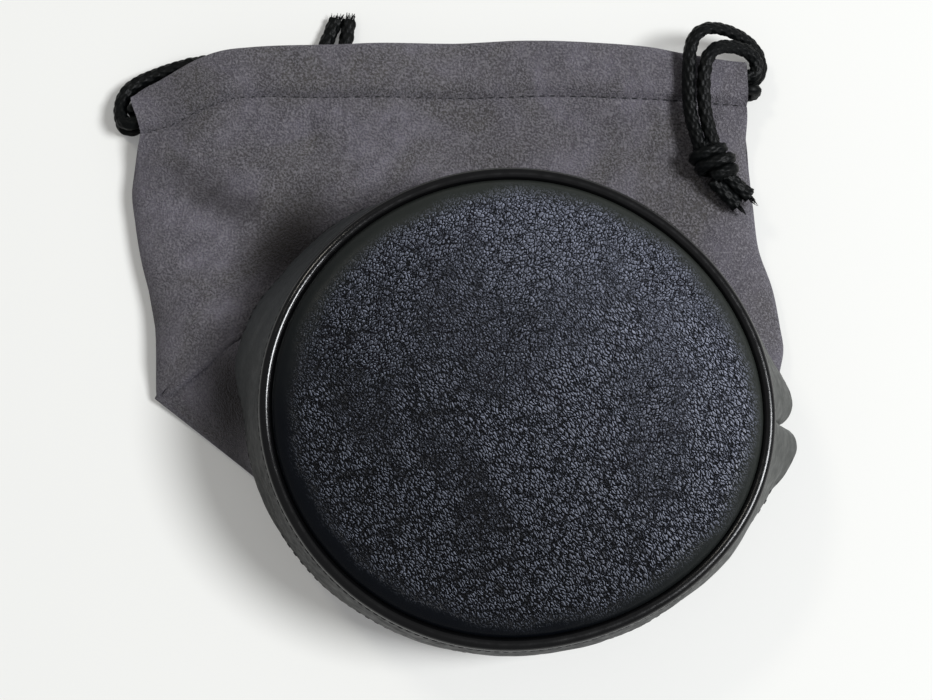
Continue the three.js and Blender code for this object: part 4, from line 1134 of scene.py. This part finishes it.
def drawcord(side, front, back, knot_at, ends, heading):
    body = side + "_drawcord"
    cord_run(side, f"{side}_cord_in_hems", f"{side}_cord_run")
    bound = knot(f"{side}_knot_braid", knot_at, heading, body, f"{side}_knot")
    near, far = (tail(f"{side}_tail_{which}", route, body, f"{side}_end_{which}", seed)
                 for which, route, seed in (("front", ends[0], 3), ("back", ends[1], 4)))
    for which, route, phase, pieces in (("front", front, 0.0, [bound, near]), ("back", back, 0.5, [far])):
        path, gone = even_path(route, 0.24)
        line, along = even_path(reaching(route, 0.8, 2.0), 0.24)
        cord = braid(line, along, CORD_RADIUS * 1.06, phase=phase, flatness=CORD_FLATNESS)
        thing = cord_piece(f"{side}_cord_{which}", [cord], body, f"{side}_strand_{which}")
        path = placed(path).tolist()


# Stage
def table():
    """A white table that shows the shadow and is nearly white to the camera."""
    mesh = bpy.data.meshes.new("table_top")
    r = TABLE_REACH
    mesh.from_pydata([(-r, -r, 0), (r, -r, 0), (r, r, 0), (-r, r, 0)], [], [(0, 1, 2, 3)])
    look = Look("white table", (0.75, 0.75, 0.72), 0.8, Emission_Color=(1, 1, 1, 1))
    seen = look.node("LightPath").outputs["Is Camera Ray"]
    look.set("Emission Strength", look.math("MULTIPLY", seen, TABLE_LIFT))
    mesh.materials.append(look.material)
    thing = added("table_top", mesh)
    thing.location.z = -TABLE_DROP


def aim(thing, at, toward):
    at, toward = Vector(at), Vector(toward)
    thing.location = at
    thing.rotation_euler = (toward - at).to_track_quat("-Z", "Y").to_euler()


def area_light(name, at, size, power, colour):
    light = bpy.data.lights.new(name, "AREA")
    light.shape = "DISK"
    light.size = size
    light.energy = power
    light.color = colour
    thing = added(name, light)
    aim(thing, at, placed([0, 0, 30]))


def sky():
    world = bpy.data.worlds.new("even light")
    world.use_nodes = True
    background = world.node_tree.nodes["Background"]
    background.inputs["Color"].default_value = SKY_COLOUR
    background.inputs["Strength"].default_value = SKY_STRENGTH
    bpy.context.scene.world = world


def camera():
    data = bpy.data.cameras.new("camera")
    data.sensor_width = SENSOR_WIDTH
    data.lens = PHOTO_FOCAL_PIXELS * SENSOR_WIDTH / PHOTO_WIDTH_PIXELS
    data.clip_start = 0.01
    thing = added("camera", data)
    aim(thing, placed(CAMERA_AT), placed(CAMERA_AIM))
    bpy.context.scene.camera = thing


base_panel()
piping()
band()
stitches_round("base_stitches", "base_seam_thread", down=0.05, count=170, radius=0.15, lift=0.02)
stitches_round("band_stitches", "band_stitching", down=1 - STITCH_INSET / BAND_HEIGHT, count=150,
               radius=0.12, lift=0.03)
bag()
hem_stitches("hem_stitches_front", "hem_stitching_front",
             lambda x, y: upper_z(x, y) + HEM_STITCH_LIFT)
hem_stitches("hem_stitches_back", "hem_stitching_back",
             lambda x, y: lower_z(x, y) + CHANNEL_PITCH * 0.92 + HALF + 0.2)
drawcord("left", LEFT_FRONT, LEFT_BACK, LEFT_KNOT, LEFT_ENDS, heading=0)
drawcord("right", RIGHT_FRONT, RIGHT_BACK, RIGHT_KNOT, RIGHT_ENDS, heading=-62)
table()
area_light("window", **WINDOW)
area_light("lamp", **LAMP)
sky()
camera()
bpy.context.scene.view_settings.view_transform = "Standard"
